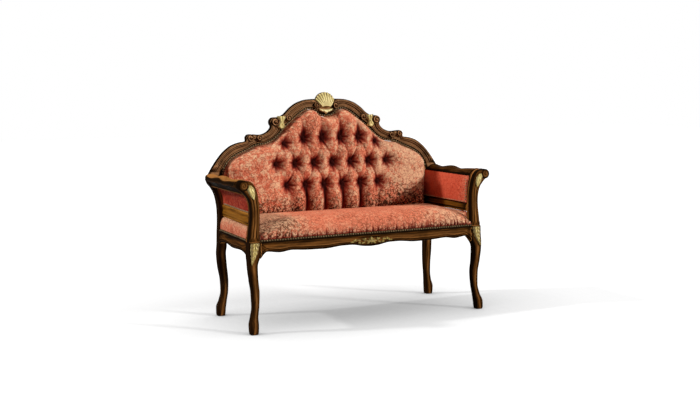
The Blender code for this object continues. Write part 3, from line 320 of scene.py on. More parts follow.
def gilt_finish(name, low, high, bright):
    """Pale gilding over carving, rubbed bright on the ridges, with brown patina in the recesses."""
    made = Finish(name, "gilt")
    place = made.place()
    relief = made.attribute("relief")
    cloud = made.noise(place, 55.0, 5.0)
    specks = made.noise(place, 420.0, 2.0)
    colour = made.mix(made.span(cloud, 0.35, 0.65), low, high)
    colour = made.mix(made.span(relief, 0.0, 0.7, 0.0, 0.8), colour, bright)
    patina = made.math("ADD", relief, made.times(made.math("SUBTRACT", cloud, 0.5), 0.5))
    colour = made.mix(made.span(patina, -0.12, -0.8, 0.0, 0.85), colour, PATINA)
    colour = made.mix(made.span(specks, 0.66, 0.74, 0.0, 0.4), colour, SPECK)
    made.surface(Base_Color=colour, Roughness=made.span(cloud, 0.3, 0.7, 0.32, 0.52))
    made.surface(Metallic=0.15, Normal=made.bump(specks, 0.0006, 0.4))
    return made


def damask_finish(name, deep, coral, tan, vein, sheen=0.05, gloss=0.03):
    """Velvet damask: tan and coral leaves with broken dark outlines on crushed pile, and a soft sheen; pieces
    mark painted shade in their folds and pits, and paler, partly painted light, on some parts.
    """
    made = Finish(name, "damask")
    place = made.place()
    cloth = made.attribute("cloth", "Vector")
    fold, shade, calm, bloom = (made.attribute(key) for key in ("fold", "shade", "calm", "bloom"))
    sway = made.vector("SUBTRACT", made.noise(place, 48.0, 2.0, 0.5, output="Color"), (0.5, 0.5, 0.5))
    bent = made.vector("ADD", made.vector("MULTIPLY", sway, (0.03, 0.03, 0.03)), place)

    def outline(scale):
        inputs = {"Vector": bent, "Scale": scale}
        return made.node("TexVoronoi", inputs, feature="DISTANCE_TO_EDGE").outputs["Distance"]

    leaf = made.node("TexVoronoi", {"Vector": bent, "Scale": LEAF_SCALE}).outputs["Color"]
    strokes = made.noise(place, 52.0, 1.5, 0.5, 2.0)
    crush = made.noise(place, 62.0, 3.0, 0.6, 0.8)
    pile = made.noise(place, 190.0, 3.0, 0.6)
    wear = made.noise(place, 8.0, 3.0)
    # a marked paleness, partly painted light, moves the tone towards tan
    tone = made.total((leaf, 0.22), (pile, 0.32), (crush, 0.78), (wear, 0.24), (bloom, 0.11))
    colour = made.ramp(tone, ((0.60, deep), (0.70, coral), (0.78, coral), (0.91, tan), (1.0, tan)))
    colour = made.mix(made.times(calm, 0.65), colour, coral)
    edge = made.total((outline(LEAF_SCALE), 1.0), (shade, -0.05))
    line = made.times(made.span(edge, 0.11, 0.03), made.span(strokes, 0.40, 0.52))
    fine = made.times(made.span(outline(2 * LEAF_SCALE), 0.12, 0.02), made.span(strokes, 0.58, 0.44))
    drawn = made.math("MAXIMUM", line, made.times(fine, 0.7))
    drawn = made.times(drawn, made.span(calm, 1.0, 1.4, 1.0, 0.2))
    colour = made.mix(made.times(drawn, 0.70), colour, deep)
    shown = made.math("ADD", made.span(wear, 0.56, 0.36, 0.10, 0.45), shade, clamp=True)
    shown = made.times(shown, made.span(calm, 1.0, 1.4, 1.0, 0.1))
    blade = made.span(made.total((strokes, 1.0), (shade, 0.075)), 0.59, 0.65)
    colour = made.mix(made.times(made.math("MAXIMUM", drawn, blade), shown), colour, vein)
    # painted shade where a piece marks its folds, pits and shaded faces
    colour = made.mix(made.span(fold, 0.05, 0.65, 0.0, 0.92), colour, FOLD_SHADE)
    colour = made.mix(made.span(fold, 0.45, 1.0), colour, FOLD_SHADE_DEEP)
    threads = {"Vector": cloth, "Scale": WEAVE_SCALE}
    warp, weft = (made.node("TexWave", threads, bands_direction=way).outputs["Fac"] for way in "XY")
    weave = made.math("ADD", made.times(warp, weft), made.times(pile, 0.8))
    skin = made.bump(crush, 0.0030, 0.5, made.bump(weave, 0.0005, 0.5))
    made.surface(Base_Color=colour, Roughness=made.span(tone, 0.66, 0.90, 0.74, 0.58), Normal=skin)
    made.surface(Sheen_Weight=sheen, Sheen_Roughness=0.35, Sheen_Tint=SHEEN_TINT, Specular_IOR_Level=gloss)
    return made


def plain_finish(name, slot, low, high, rough, gloss=0.3, size=60.0, depth=0.0004):
    """A mottled surface for trim and hidden pieces."""
    made = Finish(name, slot)
    place = made.place()
    fine = made.noise(place, size * 12, 3.0)
    made.surface(Base_Color=made.mix(made.span(made.noise(place, size, 5.0), 0.3, 0.7), low, high))
    made.surface(Roughness=made.span(fine, 0.3, 0.7, rough - 0.08, rough + 0.08))
    made.surface(Specular_IOR_Level=gloss, Normal=made.bump(fine, depth, 0.6))
    return made


WALNUT = walnut_finish(
    "walnut", (0.009, 0.0033, 0.0009), (0.056, 0.0200, 0.0042), (0.180, 0.063, 0.0118), (0.44, 0.178, 0.046),
)
# walnut of the crest and shoulders, its colours greyed and lightened by a painted reflection of polish
WALNUT_PAINTED_GLOSS = walnut_finish(
    "walnut_painted_gloss",
    (0.014, 0.0070, 0.0036), (0.062, 0.0255, 0.0095), (0.190, 0.078, 0.025), (0.54, 0.265, 0.115),
)
RUBBED = walnut_finish(
    "walnut_rubbed",
    (0.085, 0.031, 0.0035), (0.235, 0.086, 0.0095), (0.35, 0.138, 0.018), (0.46, 0.200, 0.036),
)
GILT = gilt_finish("gilt", (0.50, 0.365, 0.105), (0.68, 0.545, 0.200), (0.85, 0.735, 0.37))
GILT_AGED = gilt_finish("gilt_aged", (0.30, 0.200, 0.042), (0.48, 0.350, 0.088), (0.74, 0.61, 0.24))
DAMASK = damask_finish(
    "damask", (0.42, 0.060, 0.032), (0.71, 0.205, 0.106), (0.80, 0.47, 0.27), (0.060, 0.019, 0.008),
)
DAMASK_ARM = damask_finish(
    "damask_arm",
    (0.40, 0.042, 0.022), (0.62, 0.098, 0.048), (0.66, 0.17, 0.090), (0.20, 0.022, 0.012), 0.01, 0.01,
)
DAMASK_PLAIN = damask_finish(
    "damask_outside", (0.20, 0.022, 0.013), (0.34, 0.050, 0.028), (0.40, 0.13, 0.068), (0.09, 0.013, 0.008),
)
BRAID = plain_finish("braid", "braid", (0.020, 0.012, 0.005), (0.062, 0.040, 0.018), 0.7, 0.01, 260.0, 0.0008)
NAIL = plain_finish("nail_bronze", "braid", (0.20, 0.125, 0.055), (0.50, 0.36, 0.20), 0.36, 0.15, 180.0)
# darker nails for the seat and the outside back
NAIL_DARK = plain_finish("nail_dark", "braid", (0.10, 0.060, 0.026), (0.34, 0.230, 0.115), 0.42, 0.10, 180.0)
BEECH = plain_finish("beech", "beech", (0.42, 0.29, 0.17), (0.56, 0.41, 0.26), 0.6)
JUTE = plain_finish("jute", "jute", (0.36, 0.27, 0.16), (0.52, 0.41, 0.26), 0.85, 0.1, 300.0, 0.001)
CAMBRIC = plain_finish(
    "cambric", "cambric", (0.035, 0.032, 0.03), (0.06, 0.055, 0.05), 0.9, 0.1, 400.0, 0.0006,
)

# Meshes


class Shape:
    """Grids of points gathered into one piece, with the run of the grain kept for every point."""

    def __init__(self, rows=None):
        self.points = []
        self.faces = []
        self.grain = []
        self.wear = []
        if rows:
            self.grid(rows)

    def grid(self, rows):
        """Add rows of points as a skin, closed round each row and capped at both ends."""
        first = len(self.points)
        count = len(rows[0])
        along = 0.0
        seed = 0.37 * first
        for n, row in enumerate(rows):
            middle = sum((Vector(point) for point in row), Vector()) / count
            if n:
                along += (middle - before).length
            before = middle
            girth = 0.0
            for k, point in enumerate(row):
                if k:
                    girth += math.dist(point, row[k - 1])
                self.points.append(tuple(point))
                self.grain.append((along, girth, seed))
        for near in range(first, first + (len(rows) - 1) * count, count):
            for k in range(count):
                j = (k + 1) % count
                self.faces.append((near + k, near + j, near + count + j, near + count + k))
        for start in (first, first + (len(rows) - 1) * count):
            self.faces.append(tuple(range(start, start + count)))

    def flipped(self, sign):
        """The same shape on the left or right side."""
        other = Shape()
        other.points = [(sign * x, y, z) for x, y, z in self.points]
        other.faces = self.faces
        other.grain = self.grain
        other.wear = self.wear
        return other


def mark(made, **fields):
    """Keep values or vectors for every point of a piece, by name."""
    for name, values in fields.items():
        values = np.asarray(values, dtype=np.float32)
        kind, field = ("FLOAT_VECTOR", "vector") if values.ndim == 2 else ("FLOAT", "value")
        made.data.attributes.new(name, kind, "POINT").data.foreach_set(field, values.ravel())


def points_of(made, key="co"):
    points = np.empty(len(made.data.vertices) * 3)
    made.data.vertices.foreach_get(key, points)
    return points.reshape(-1, 3)


def spread(values, edges, passes):
    """Values of a mesh's points averaged with their neighbours, several times over."""
    near, far = edges.T
    count = len(values)
    degree = np.maximum(np.bincount(edges.ravel(), minlength=count), 1)
    values = values.copy()
    for _ in range(passes):
        for column in values.T:
            total = np.bincount(near, column[far], count) + np.bincount(far, column[near], count)
            column[:] = 0.5 * column + 0.5 * total / degree
    return values


def mark_relief(made, size, passes, lit_or_rubbed, shade_away, narrow):
    """Mark where a carved surface stands proud of its own smoothed form, or lies below it.

    Faces turned to the lit direction are marked lighter, by its length, as painted light, and the others
    darker, as painted shade.
    Faces turned to the wall are left plain."""
    points = points_of(made)
    normals = points_of(made, "normal")
    edges = np.empty(len(made.data.edges) * 2, dtype=np.int64)
    made.data.edges.foreach_get("vertices", edges)
    edges = edges.reshape(-1, 2)
    proud = ((points - spread(points, edges, passes)) * normals).sum(axis=1, keepdims=True)
    proud -= spread(proud, edges, 5 * passes)
    proud[:, 0] *= np.clip(1.2 - 2.5 * normals[:, 1], 0.0, 1.0)
    # painted light on faces turned to the lit direction, painted shade on the others
    amount = Vector(lit_or_rubbed).length
    facing = past(normals @ (np.array(lit_or_rubbed) / max(amount, 1e-9)), 0.45, 0.4) ** narrow
    mark(made, relief=np.clip(proud[:, 0] / size + amount * facing - shade_away * (1 - facing), -1.0, 1.0))


def piece(name, points, faces, finish, replaced=(), sharp=42.0):
    """A named object from points and faces, riding on the frame."""
    mesh = bpy.data.meshes.new(name)
    mesh.from_pydata([tuple(point) for point in points], [], faces)
    shape = bmesh.new()
    shape.from_mesh(mesh)
    bmesh.ops.recalc_face_normals(shape, faces=shape.faces)
    shape.to_mesh(mesh)
    shape.free()
    mesh.materials.append(finish.material)
    mesh.shade_smooth()
    mesh.set_sharp_from_angle(angle=math.radians(sharp))
    made = bpy.data.objects.new(name, mesh)
    bpy.context.collection.objects.link(made)
    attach(made, "root")
    if replaced:
        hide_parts(*replaced)
    return made


def carved(name, shape, finish, replaced, size=0.0016, passes=10, lit_or_rubbed=(0, 0, 0), shade_away=0.0, narrow=1.0):
    """A piece of carved wood or gilding, if asked painted lighter where it faces the lit direction and
    painted darker, as shade, where it doesn't.
    """
    made = piece(name, shape.points, shape.faces, finish, replaced)
    mark(made, grain=shape.grain)
    if shape.wear:
        mark(made, relief=shape.wear)
    else:
        mark_relief(made, size, passes, lit_or_rubbed, shade_away, narrow)


def carved_pair(name, shape, finish, node, *relief):
    """A carved piece on the right, and its mirror on the left."""
    for side, sign in SIDES:
        carved(f"{name}_{side}", shape.flipped(sign), finish, [f"{node}_{side}"], *relief)


def round_ring(x0, x1, y0, y1, z, cut, steps=4, sides=6):
    """A level ring with rounded corners, starting at the back."""
    corners = []
    for cx, cy, start in (
        (x0 + cut, y1 - cut, 90), (x0 + cut, y0 + cut, 180),
        (x1 - cut, y0 + cut, 270), (x1 - cut, y1 - cut, 0),
    ):
        turns = [math.radians(start + 90 * k / steps) for k in range(steps + 1)]
        corners.append([(cx + cut * math.cos(turn), cy + cut * math.sin(turn), z) for turn in turns])
    ring = []
    for n, corner in enumerate(corners):
        a = Vector(corner[-1])
        b = Vector(corners[(n + 1) % 4][0])
        ring += corner + [tuple(a.lerp(b, k / sides)) for k in range(1, sides)]
    return ring


def spokes(across, up, count):
    """Directions round a circle, with their angles."""
    turns = [2 * math.pi * k / count for k in range(count)]
    return [(turn, across * math.cos(turn) + up * math.sin(turn)) for turn in turns]


VOLUTE_SIDES = 44
VOLUTE_RINGS = 22
EYE = 0.24               # share of a volute's radius taken by its eye


def add_volute(shape, centre, out, radius, rise, hand, depth, turns=1.75):
    """Add a carved spiral: a roll that winds inward to a raised eye."""
    out = Vector(out).normalized()
    up = (Vector((0, 0, 1)) - out * out.z).normalized()
    around = spokes(up.cross(out), up, VOLUTE_SIDES)
    rows = []
    for n in range(-1, VOLUTE_RINGS + 1):
        r = 1 - max(n, 0) / (VOLUTE_RINGS + 0.5)
        row = []
        for k, (_, arm) in enumerate(around):
            turn = (r * turns + hand * k / VOLUTE_SIDES) % 1.0
            roll = math.sin(math.pi * turn) ** 0.55
            lift = 0.34 + 0.42 * roll + 0.30 * (1 - r)
            if r < EYE:
                lift = 0.75 + 0.55 * math.sqrt(1 - (r / EYE) ** 2)
            lift *= min(1.0, (1 - r) / 0.13) ** 0.5
            height = -depth if n < 0 else rise * lift
            row.append(Vector(centre) + arm * radius * r + out * height)
        rows.append(row)
    shape.grid(rows)


LEAF_ACROSS = 25


def add_leaf(shape, centres, across, out, half, rise, veins, sink, lobes=0.10):
    """Add a carved leaf along a row of centres: a sunk midrib, slanting veins and a scalloped edge."""
    rows = []
    for n, centre in enumerate(centres):
        t = n / (len(centres) - 1)
        wide = half(t) if callable(half) else between(half, t)[0]
        wide *= 1 + lobes * math.cos(2 * math.pi * (veins * t + 0.5))
        row = [centre + across * wide - out * sink, centre - across * wide - out * sink]
        for k in range(LEAF_ACROSS):
            a = 2 * k / (LEAF_ACROSS - 1) - 1
            dome = (1 - abs(a) ** 2.6) ** 0.6
            vein = 0.30 * math.cos(2 * math.pi * (veins * t - 0.8 * abs(a))) * min(1.0, 2.5 * abs(a))
            rib = -0.42 * math.exp(-(a / 0.13) ** 2)
            lift = rise * (0.22 + 0.70 * dome * (1 + vein) + rib * (1 - t) ** 0.5)
            row.append(centre + across * (wide * a) + out * lift)
        rows.append(row)
    shape.grid(rows)


def straight(root, tip, count):
    return [root.lerp(tip, k / (count - 1)) for k in range(count)]


# Frame of the seat: share of the height, inner, outer, front and rear face, and rounding of the corners
FRONT_LEG = (
    (0.000, -0.0080, 0.0180, -0.0215, 0.0035, 0.005),
    (0.025, -0.0105, 0.0205, -TOE_REACH, 0.0060, 0.006),
    (0.093, -0.0125, 0.0210, -0.0230, 0.0105, 0.007),
    (0.183, -0.0160, 0.0120, -0.0100, 0.0180, 0.008),
    (0.293, -0.0235, 0.0035, -0.0050, 0.0225, 0.008),
    (0.440, -0.0265, 0.0050, -0.0035, 0.0275, 0.008),
    (0.587, -0.0205, 0.0140, -0.0055, 0.0285, 0.008),
    (0.733, -0.0180, 0.0210, -0.0065, 0.0305, 0.007),
    (0.785, -0.0225, 0.0220, -0.0060, 0.0335, 0.005),
    (0.825, -0.0295, 0.0220, -0.0050, 0.0390, 0.003),
    (0.880, -BLOCK_IN, 0.0210, -0.0030, BLOCK_DEEP, 0.003),
    (1.000, -BLOCK_IN, 0.0195, -0.0015, BLOCK_DEEP, 0.003),
)
REAR_LEG = (
    (0.000, -0.0080, 0.0195, 0.0010, 0.0280, 0.005),
    (0.025, -0.0095, 0.0215, -0.0005, 0.0300, 0.006),
    (0.098, -0.0120, 0.0220, -0.0030, 0.0305, 0.007),
    (0.183, -0.0170, 0.0115, -0.0040, 0.0255, 0.007),
    (0.293, -0.0235, 0.0040, -0.0075, 0.0205, 0.007),
    (0.416, -0.0255, 0.0055, -0.0070, 0.0245, 0.007),
    (0.587, -0.0215, 0.0145, -0.0015, 0.0345, 0.007),
    (0.733, -0.0190, 0.0175, 0.0025, 0.0390, 0.005),
    (0.830, -POST_IN, 0.0150, 0.0000, 0.0410, 0.003),
    (1.000, -POST_IN, 0.0125, 0.0000, POST_DEEP, 0.003),
)
# Rear post above the seat: share of its height, inner and outer face, and depth
REAR_POST = (
    (0.000, -POST_IN, 0.0125, POST_DEEP),
    (0.170, -0.0255, 0.0095, POST_DEEP),
    (0.370, -POST_WAIST, 0.0080, POST_DEEP),
    (0.540, -0.0245, 0.0115, POST_DEEP),
    (0.680, -0.0195, 0.0190, 0.041),
    (0.824, -0.0160, 0.0370, 0.036),
    (0.914, -0.0140, 0.0550, 0.033),
    (1.000, -0.0125, 0.0630, CREST_THICK),
)
LEG_RINGS = 90
POST_RINGS = 44
POST_ROUND = 0.004
# Swell of a leg's faces, by the share of its height
LEG_FULL = ((0.0, 0.0032), (0.10, 0.0030), (0.30, 0.0022), (0.70, 0.0018), (0.85, 0.0), (1.0, 0.0))
LEG_FRONT_LIGHT = 0.42          # painted highlight, with some wear, along the middle of a leg's front
LEG_SIDE_SHADE = 0.40         # painted shade, with some stain, on its other sides and its corners


def front_leg_faces(z):
    x0, x1, y0, y1, cut = between(FRONT_LEG, z / RAIL_TOP)
    full = between(LEG_FULL, z / RAIL_TOP)[0]
    return LEG_X + x0 - full, LEG_X + x1 + full, FRONT_Y + y0 - 0.3 * full, FRONT_Y + y1 + 1.4 * full, cut


def post_faces(z):
    x0, x1, deep = between(REAR_POST, (z - RAIL_TOP) / (POST_TOP - RAIL_TOP))
    return REAR_X + x0, REAR_X + x1, deep


def leg_pair(end, rows):
    """A pair of legs, with a lighter streak down the front, painted highlight and some wear, and sides
    darkened by painted shade and stain.
    """
    leg = Shape(rows)
    for row in rows:
        low, high = np.min(row, axis=0), np.max(row, axis=0)
        for x, y, z in row:
            across = (2 * x - low[0] - high[0]) / (high[0] - low[0])
            ahead = min(max(1 - (y - low[1]) / 0.006, 0.0), 1.0)
            streak = bell(across, 0.52) * (0.8 + 0.5 * noise.noise((across, 0.0, 16 * z)))
            # painted highlight down the middle of the front, painted shade on the other sides
            leg.wear.append(ahead * (LEG_FRONT_LIGHT + LEG_SIDE_SHADE) * streak - LEG_SIDE_SHADE)
    carved_pair(f"{end}_leg_wood", leg, WALNUT, f"{end}_leg")


def make_legs():
    front = []
    rear = []
    for k in range(LEG_RINGS + 1):
        z = RAIL_TOP * k / LEG_RINGS
        x0, x1, y0, y1, cut = front_leg_faces(z)
        front.append(round_ring(x0, x1, y0, y1, z, cut))
        x0, x1, y0, y1, cut = between(REAR_LEG, k / LEG_RINGS)
        full = between(LEG_FULL, k / LEG_RINGS)[0]
        faces = (REAR_X + x0 - full, REAR_X + x1 + full, REAR_Y + y0 - full, REAR_Y + y1 + full)
        rear.append(round_ring(*faces, z, cut))
    for k in range(1, POST_RINGS + 1):
        z = RAIL_TOP + (POST_TOP - RAIL_TOP) * k / POST_RINGS
        x0, x1, deep = post_faces(z)
        rear.append(round_ring(x0, x1, back_y(z), back_y(z) + deep, z, POST_ROUND))
    leg_pair("front", front)
    leg_pair("rear", rear)


# Depth of the rails, by the share from the middle of the front, or from the front of a side
FRONT_RAIL_EDGE = (
    (0.00, 0.057), (0.06, 0.055), (0.19, 0.0445), (0.26, 0.0445), (0.43, 0.052), (0.60, 0.050),
    (0.73, 0.0455), (0.83, 0.052), (0.945, 0.045), (0.975, 0.056), (1.00, 0.074),
)
SIDE_RAIL_EDGE = (
    (0.00, 0.066), (0.07, 0.056), (0.20, 0.049), (0.50, 0.054), (0.75, 0.045), (0.90, 0.049), (1.00, 0.060),
)
SIDE_RAIL_OUT = (0.0140, 0.0120)
# Moulded face of a rail: share of its depth from the top, stand in front of the plain face
RAIL_MOULDING = (
    (0.00, -0.0010), (0.04, 0.0014), (0.12, 0.0026), (0.19, 0.0012), (0.22, -0.0018), (0.29, -0.0022),
    (0.44, 0.0004), (0.60, 0.0028), (0.68, 0.0014), (0.71, -0.0014), (0.78, 0.0010), (0.88, 0.0040),
    (0.96, 0.0028), (1.00, -0.0012),
)
RAIL_FACE = 40
RAIL_STEPS = 110
SIDE_RAIL_STEPS = 80
# the front rail's front faces painted lighter, as lit
RAIL_FRONT_LIGHT = (0.0, -0.15, 0.0)


def side_rail_faces(y):
    share = (y - BLOCK_BACK) / (REAR_Y - BLOCK_BACK)
    front = LEG_X + SIDE_RAIL_OUT[0]
    outer = front + (REAR_X + SIDE_RAIL_OUT[1] - front) * share
    return outer, outer - RAIL_THICK


def moulded_section(outer, inner, low):
    """Rail profile with a moulded face and the webbing's ledge, as (across, height)."""
    out = math.copysign(1.0, outer - inner)
    ledge = inner + out * REBATE
    section = [(inner, low), (inner, WEB_LEDGE), (ledge, WEB_LEDGE), (ledge, RAIL_TOP)]
    for k in range(RAIL_FACE + 1):
        share = k / RAIL_FACE
        section.append((outer + out * between(RAIL_MOULDING, share)[0], RAIL_TOP + (low - RAIL_TOP) * share))
    return section


def make_rails():
    half = LEG_X - BLOCK_IN - FIT
    rows = []
    for k in range(-RAIL_STEPS, RAIL_STEPS + 1):
        share = k / RAIL_STEPS
        low = RAIL_TOP - between(FRONT_RAIL_EDGE, abs(share))[0]
        rows.append([(half * share, y, z) for y, z in moulded_section(FRONT_Y, FRONT_Y + RAIL_THICK, low)])
    carved("front_rail_wood", Shape(rows), WALNUT, ["front_seat_rail"], 0.0018, 10, RAIL_FRONT_LIGHT)
    half = REAR_X - POST_IN - FIT
    section = moulded_section(REAR_RAIL_Y + RAIL_THICK - 0.004, REAR_RAIL_Y, RAIL_TOP - REAR_RAIL_DEEP)
    rows = [[(half * k / 20, y, z) for y, z in section] for k in range(-20, 21)]
    carved("rear_rail_wood", Shape(rows), WALNUT, ["rear_seat_rail"])
    start = BLOCK_BACK + FIT
    rows = []
    for k in range(SIDE_RAIL_STEPS + 1):
        share = k / SIDE_RAIL_STEPS
        y = start + (REAR_Y - FIT - start) * share
        section = moulded_section(*side_rail_faces(y), RAIL_TOP - between(SIDE_RAIL_EDGE, share)[0])
        rows.append([(x, y, z) for x, z in section])
    carved_pair("side_rail_wood", Shape(rows), WALNUT, "side_seat_rail")


# Arms: share of a support's height, inner and outer edge
SUPPORT_EDGES = (
    (0.000, -0.0320, 0.0185), (0.045, -0.0320, 0.0185), (0.060, -0.0300, 0.0165),
    (0.150, -0.0315, 0.0130), (0.380, -0.0345, 0.0050), (0.470, -0.0342, 0.0042),
    (0.587, -0.0325, 0.0070), (0.690, -0.0285, 0.0160), (0.775, -0.0240, 0.0330),
)
SUPPORT_CROWN = ((-0.018, 0.041), (-0.006, 0.019), (0.012, 0.005))
SUPPORT_ROWS = 80
SUPPORT_FACE = 26
# painted light on the front of an arm support, and painted shade on its other faces
SUPPORT_FRONT_LIGHT = (-0.03, -0.22, 0.0)
FLUTES = 3               # ridges across the front of a support
FLUTE_RISE = 0.0042


def scroll_points(centre, *degrees):
    turns = [math.radians(turn) for turn in degrees]
    x, z = centre
    return [(x + SCROLL_RADIUS * math.cos(turn), z + SCROLL_RADIUS * math.sin(turn)) for turn in turns]


def make_arm_supports():
    scroll = (SCROLL_END - SCROLL_RADIUS, ARM_TOP - SCROLL_RADIUS)
    rise = ARM_TOP - RAIL_TOP - FIT
    inner = []
    outer = []
    for k in range(31):
        share = SUPPORT_EDGES[-1][0] * k / 30
        x0, x1 = between(SUPPORT_EDGES, share)
        inner.append((LEG_X + x0, RAIL_TOP + FIT + rise * share))
        outer.append((LEG_X + x1, RAIL_TOP + FIT + rise * share))
    inner += [(LEG_X + x, ARM_TOP - drop) for x, drop in SUPPORT_CROWN]
    inner += scroll_points(scroll, 110, 90, 70, 50)
    outer += scroll_points(scroll, -70, -55, -40)
    depths = [SUPPORT_BACK + (SUPPORT_FRONT + 0.006 - SUPPORT_BACK) * k / 4 for k in range(5)]
    rows = []
    for (ix, iz), (ox, oz) in zip(resample(inner, SUPPORT_ROWS), resample(outer, SUPPORT_ROWS)):
        fluted = past(iz, RAIL_TOP + 0.013, 0.012)
        row = [(ox, y, oz) for y in depths[::-1]] + [(ix, y, iz) for y in depths]
        for k in range(SUPPORT_FACE + 1):
            u = k / SUPPORT_FACE
            edge = math.sqrt(max(1 - (max(abs(2 * u - 1) - 0.86, 0.0) / 0.14) ** 2, 0.0))
            ridge = abs(math.sin(FLUTES * math.pi * u)) ** 0.6
            proud = 0.0045 * (edge - 1) + fluted * FLUTE_RISE * (ridge - 0.75) * edge
            row.append((ix + (ox - ix) * u, SUPPORT_FRONT - proud, iz + (oz - iz) * u))
        rows.append(row)
    support = Shape(rows)
    eye = (scroll[0], SUPPORT_FRONT, scroll[1])
    add_volute(support, eye, AHEAD, SCROLL_RADIUS, 0.008, 1, SUPPORT_BACK - SUPPORT_FRONT)
    carved_pair("arm_support_wood", support, WALNUT, "arm_support", 0.0026, 10, SUPPORT_FRONT_LIGHT, 0.2)


# Section of an arm: place across, and drop below its top
ARM_SECTION = (
    (-0.0245, ARM_DEEP), (-0.0180, 0.041), (-0.0060, 0.019), (0.0120, 0.005),
    (0.0300, 0.000), (0.0460, 0.0015), (0.0580, 0.009), (0.0615, 0.021),
    (0.0580, 0.033), (0.0470, 0.0425), (0.0360, 0.055), (0.0270, ARM_DEEP),
)
ARM_WAVES = ((0.00, 0.000), (0.25, 0.006), (0.42, 0.0115), (0.58, 0.002), (0.85, 0.013), (1.00, 0.006))
ARM_RINGS = 90
ARM_TOP_LIGHT = {"left": 0.80, "right": 0.06}  # painted light on the top of each arm: the left one lit, the right one left in shade
CUFF_RISE = 0.0012
STRETCHER_IN = (-0.0325, 0.0015)
STRETCHER_OUT = (0.0030, -0.0160)
STRETCHER_RINGS = 40
STRETCHER_FACE = 24
# painted light on a stretcher's outer faces, painted shade on its inner ones
STRETCHER_OUT_LIGHT = 0.20
# Moulded outside of a stretcher: share of its height from the top, stand outside the plain face
STRETCHER_MOULDING = (
    (0.00, -0.0030), (0.06, 0.0), (0.16, 0.0012), (0.24, -0.0004), (0.30, -0.0022), (0.50, -0.0002),
    (0.70, 0.0016), (0.80, -0.0008), (0.88, 0.0012), (0.95, 0.0002), (1.00, -0.0045),
)


def arm_station(share, below):
    """Place along the arm between its support and the back, at a height below its top."""
    start = SUPPORT_BACK + FIT
    stop = back_y(ARM_TOP - below) - FIT
    return start + (stop - start) * share


def stretcher_faces(share):
    post_in, post_out, _ = post_faces(RAIL_TOP + STRETCHER_LOW + STRETCHER_DEEP / 2)
    inner = (LEG_X + STRETCHER_IN[0]) * (1 - share) + (post_in + STRETCHER_IN[1]) * share
    outer = (LEG_X + STRETCHER_OUT[0]) * (1 - share) + (post_out + STRETCHER_OUT[1]) * share
    return inner, outer


def make_arms():
    outline = smooth_ring(ARM_SECTION, 4)
    rows = []
    for k in range(ARM_RINGS + 1):
        share = k / ARM_RINGS
        wave = between(ARM_WAVES, share)[0]
        cuff = CUFF_RISE * float(bell(share - 0.055, 0.018) - 0.8 * bell(share - 0.015, 0.012))
        row = []
        for across, below in outline:
            drop = below + wave * max(1 - below / ARM_DEEP, 0.0) ** 2.2
            x = LEG_X + across - ARM_SHIFT * share + cuff * max((across - 0.02) / 0.04, 0.0)
            row.append((x, arm_station(share, drop), ARM_TOP - drop + cuff * (below < 0.02)))
        rows.append(row)
    arm = Shape(rows)
    low = RAIL_TOP + STRETCHER_LOW
    top = low + STRETCHER_DEEP
    rows = []
    for k in range(STRETCHER_RINGS + 1):
        share = k / STRETCHER_RINGS
        section = []
        for face, out in zip(stretcher_faces(share), (-1, 1)):
            for n in range(STRETCHER_FACE + 1)[::out]:
                proud = between(STRETCHER_MOULDING, n / STRETCHER_FACE)[0]
                section.append((face + out * proud, top + (low - top) * n / STRETCHER_FACE))
        rows.append([(x, arm_station(share, ARM_TOP - z), z) for x, z in section])
    stretcher = Shape(rows)
    for side, sign in SIDES:
        # painted light on the arm's top, painted shade on its sides
        worn = (0, 0, ARM_TOP_LIGHT[side])
        shape = arm.flipped(sign)
        carved(f"arm_rail_wood_{side}", shape, WALNUT, [f"arm_rail_{side}"], 0.0016, 10, worn, 0.42, 2.5)
        # painted light on the stretcher's outer faces, painted shade on the inner ones
        worn = (STRETCHER_OUT_LIGHT * sign, 0, 0)
        shape = stretcher.flipped(sign)
        carved(f"arm_stretcher_wood_{side}", shape, RUBBED, [f"arm_stretcher_{side}"], 0.004, 10, worn, 0.24)


# Crest and shoulders, drawn at one size and fitted to the posts and the crest's top
INNER_EDGE = (
    (0.000, 0.935), (0.028, 0.939), (0.046, 0.950), (0.066, 0.9685), (0.095, 0.9715), (0.140, 0.950),
    (0.184, 0.917), (0.224, 0.884), (0.252, 0.856), (0.285, 0.828), (0.333, 0.808), (0.381, 0.8015),
    (0.429, 0.780), (0.476, 0.762), (0.518, 0.738), (0.545, 0.703), (0.5625, 0.653),
)
# Ribs: place and height of the outer end, place of the inner end
CREST_RIBS = (
    (0.000, 1.0230, 0.000), (0.030, 1.0230, 0.028), (0.052, 1.0230, 0.046), (0.072, 1.0226, 0.066),
    (0.105, 1.0205, 0.092), (0.155, 1.0070, 0.128), (0.195, 0.9835, 0.158), (0.2335, 0.950, 0.190),
    (0.258, 0.9385, 0.206), (0.285, 0.9360, 0.220), (0.303, 0.9220, 0.235), (0.302, 0.8960, 0.252),
    (0.3265, 0.8670, 0.285), (0.363, 0.8555, 0.333), (0.392, 0.8580, 0.366),
)
SHOULDER_RIBS = (
    (0.3926, 0.8580, 0.3666), (0.412, 0.8570, 0.380), (0.430, 0.8450, 0.396), (0.4385, 0.8265, 0.418),
    (0.468, 0.8220, 0.448), (0.508, 0.8100, 0.476), (0.5495, 0.7825, 0.504), (0.586, 0.7435, 0.530),
    (0.6165, 0.7015, 0.548), (0.6315, 0.6760, 0.556), (0.638, 0.653, 0.5625),
)
DRAWN_HALF, DRAWN_FOOT = INNER_EDGE[-1]
DRAWN_TOP = CREST_RIBS[0][1]
RIB_STEPS = 9
MOULDING_STEPS = 44
# Rounded back of a rib: share of the taper, share of the thickness
RIB_BACK = ((0.02, 0.10), (0.14, 0.30), (0.45, 0.65), (0.85, 0.94), (1.25, 1.0))
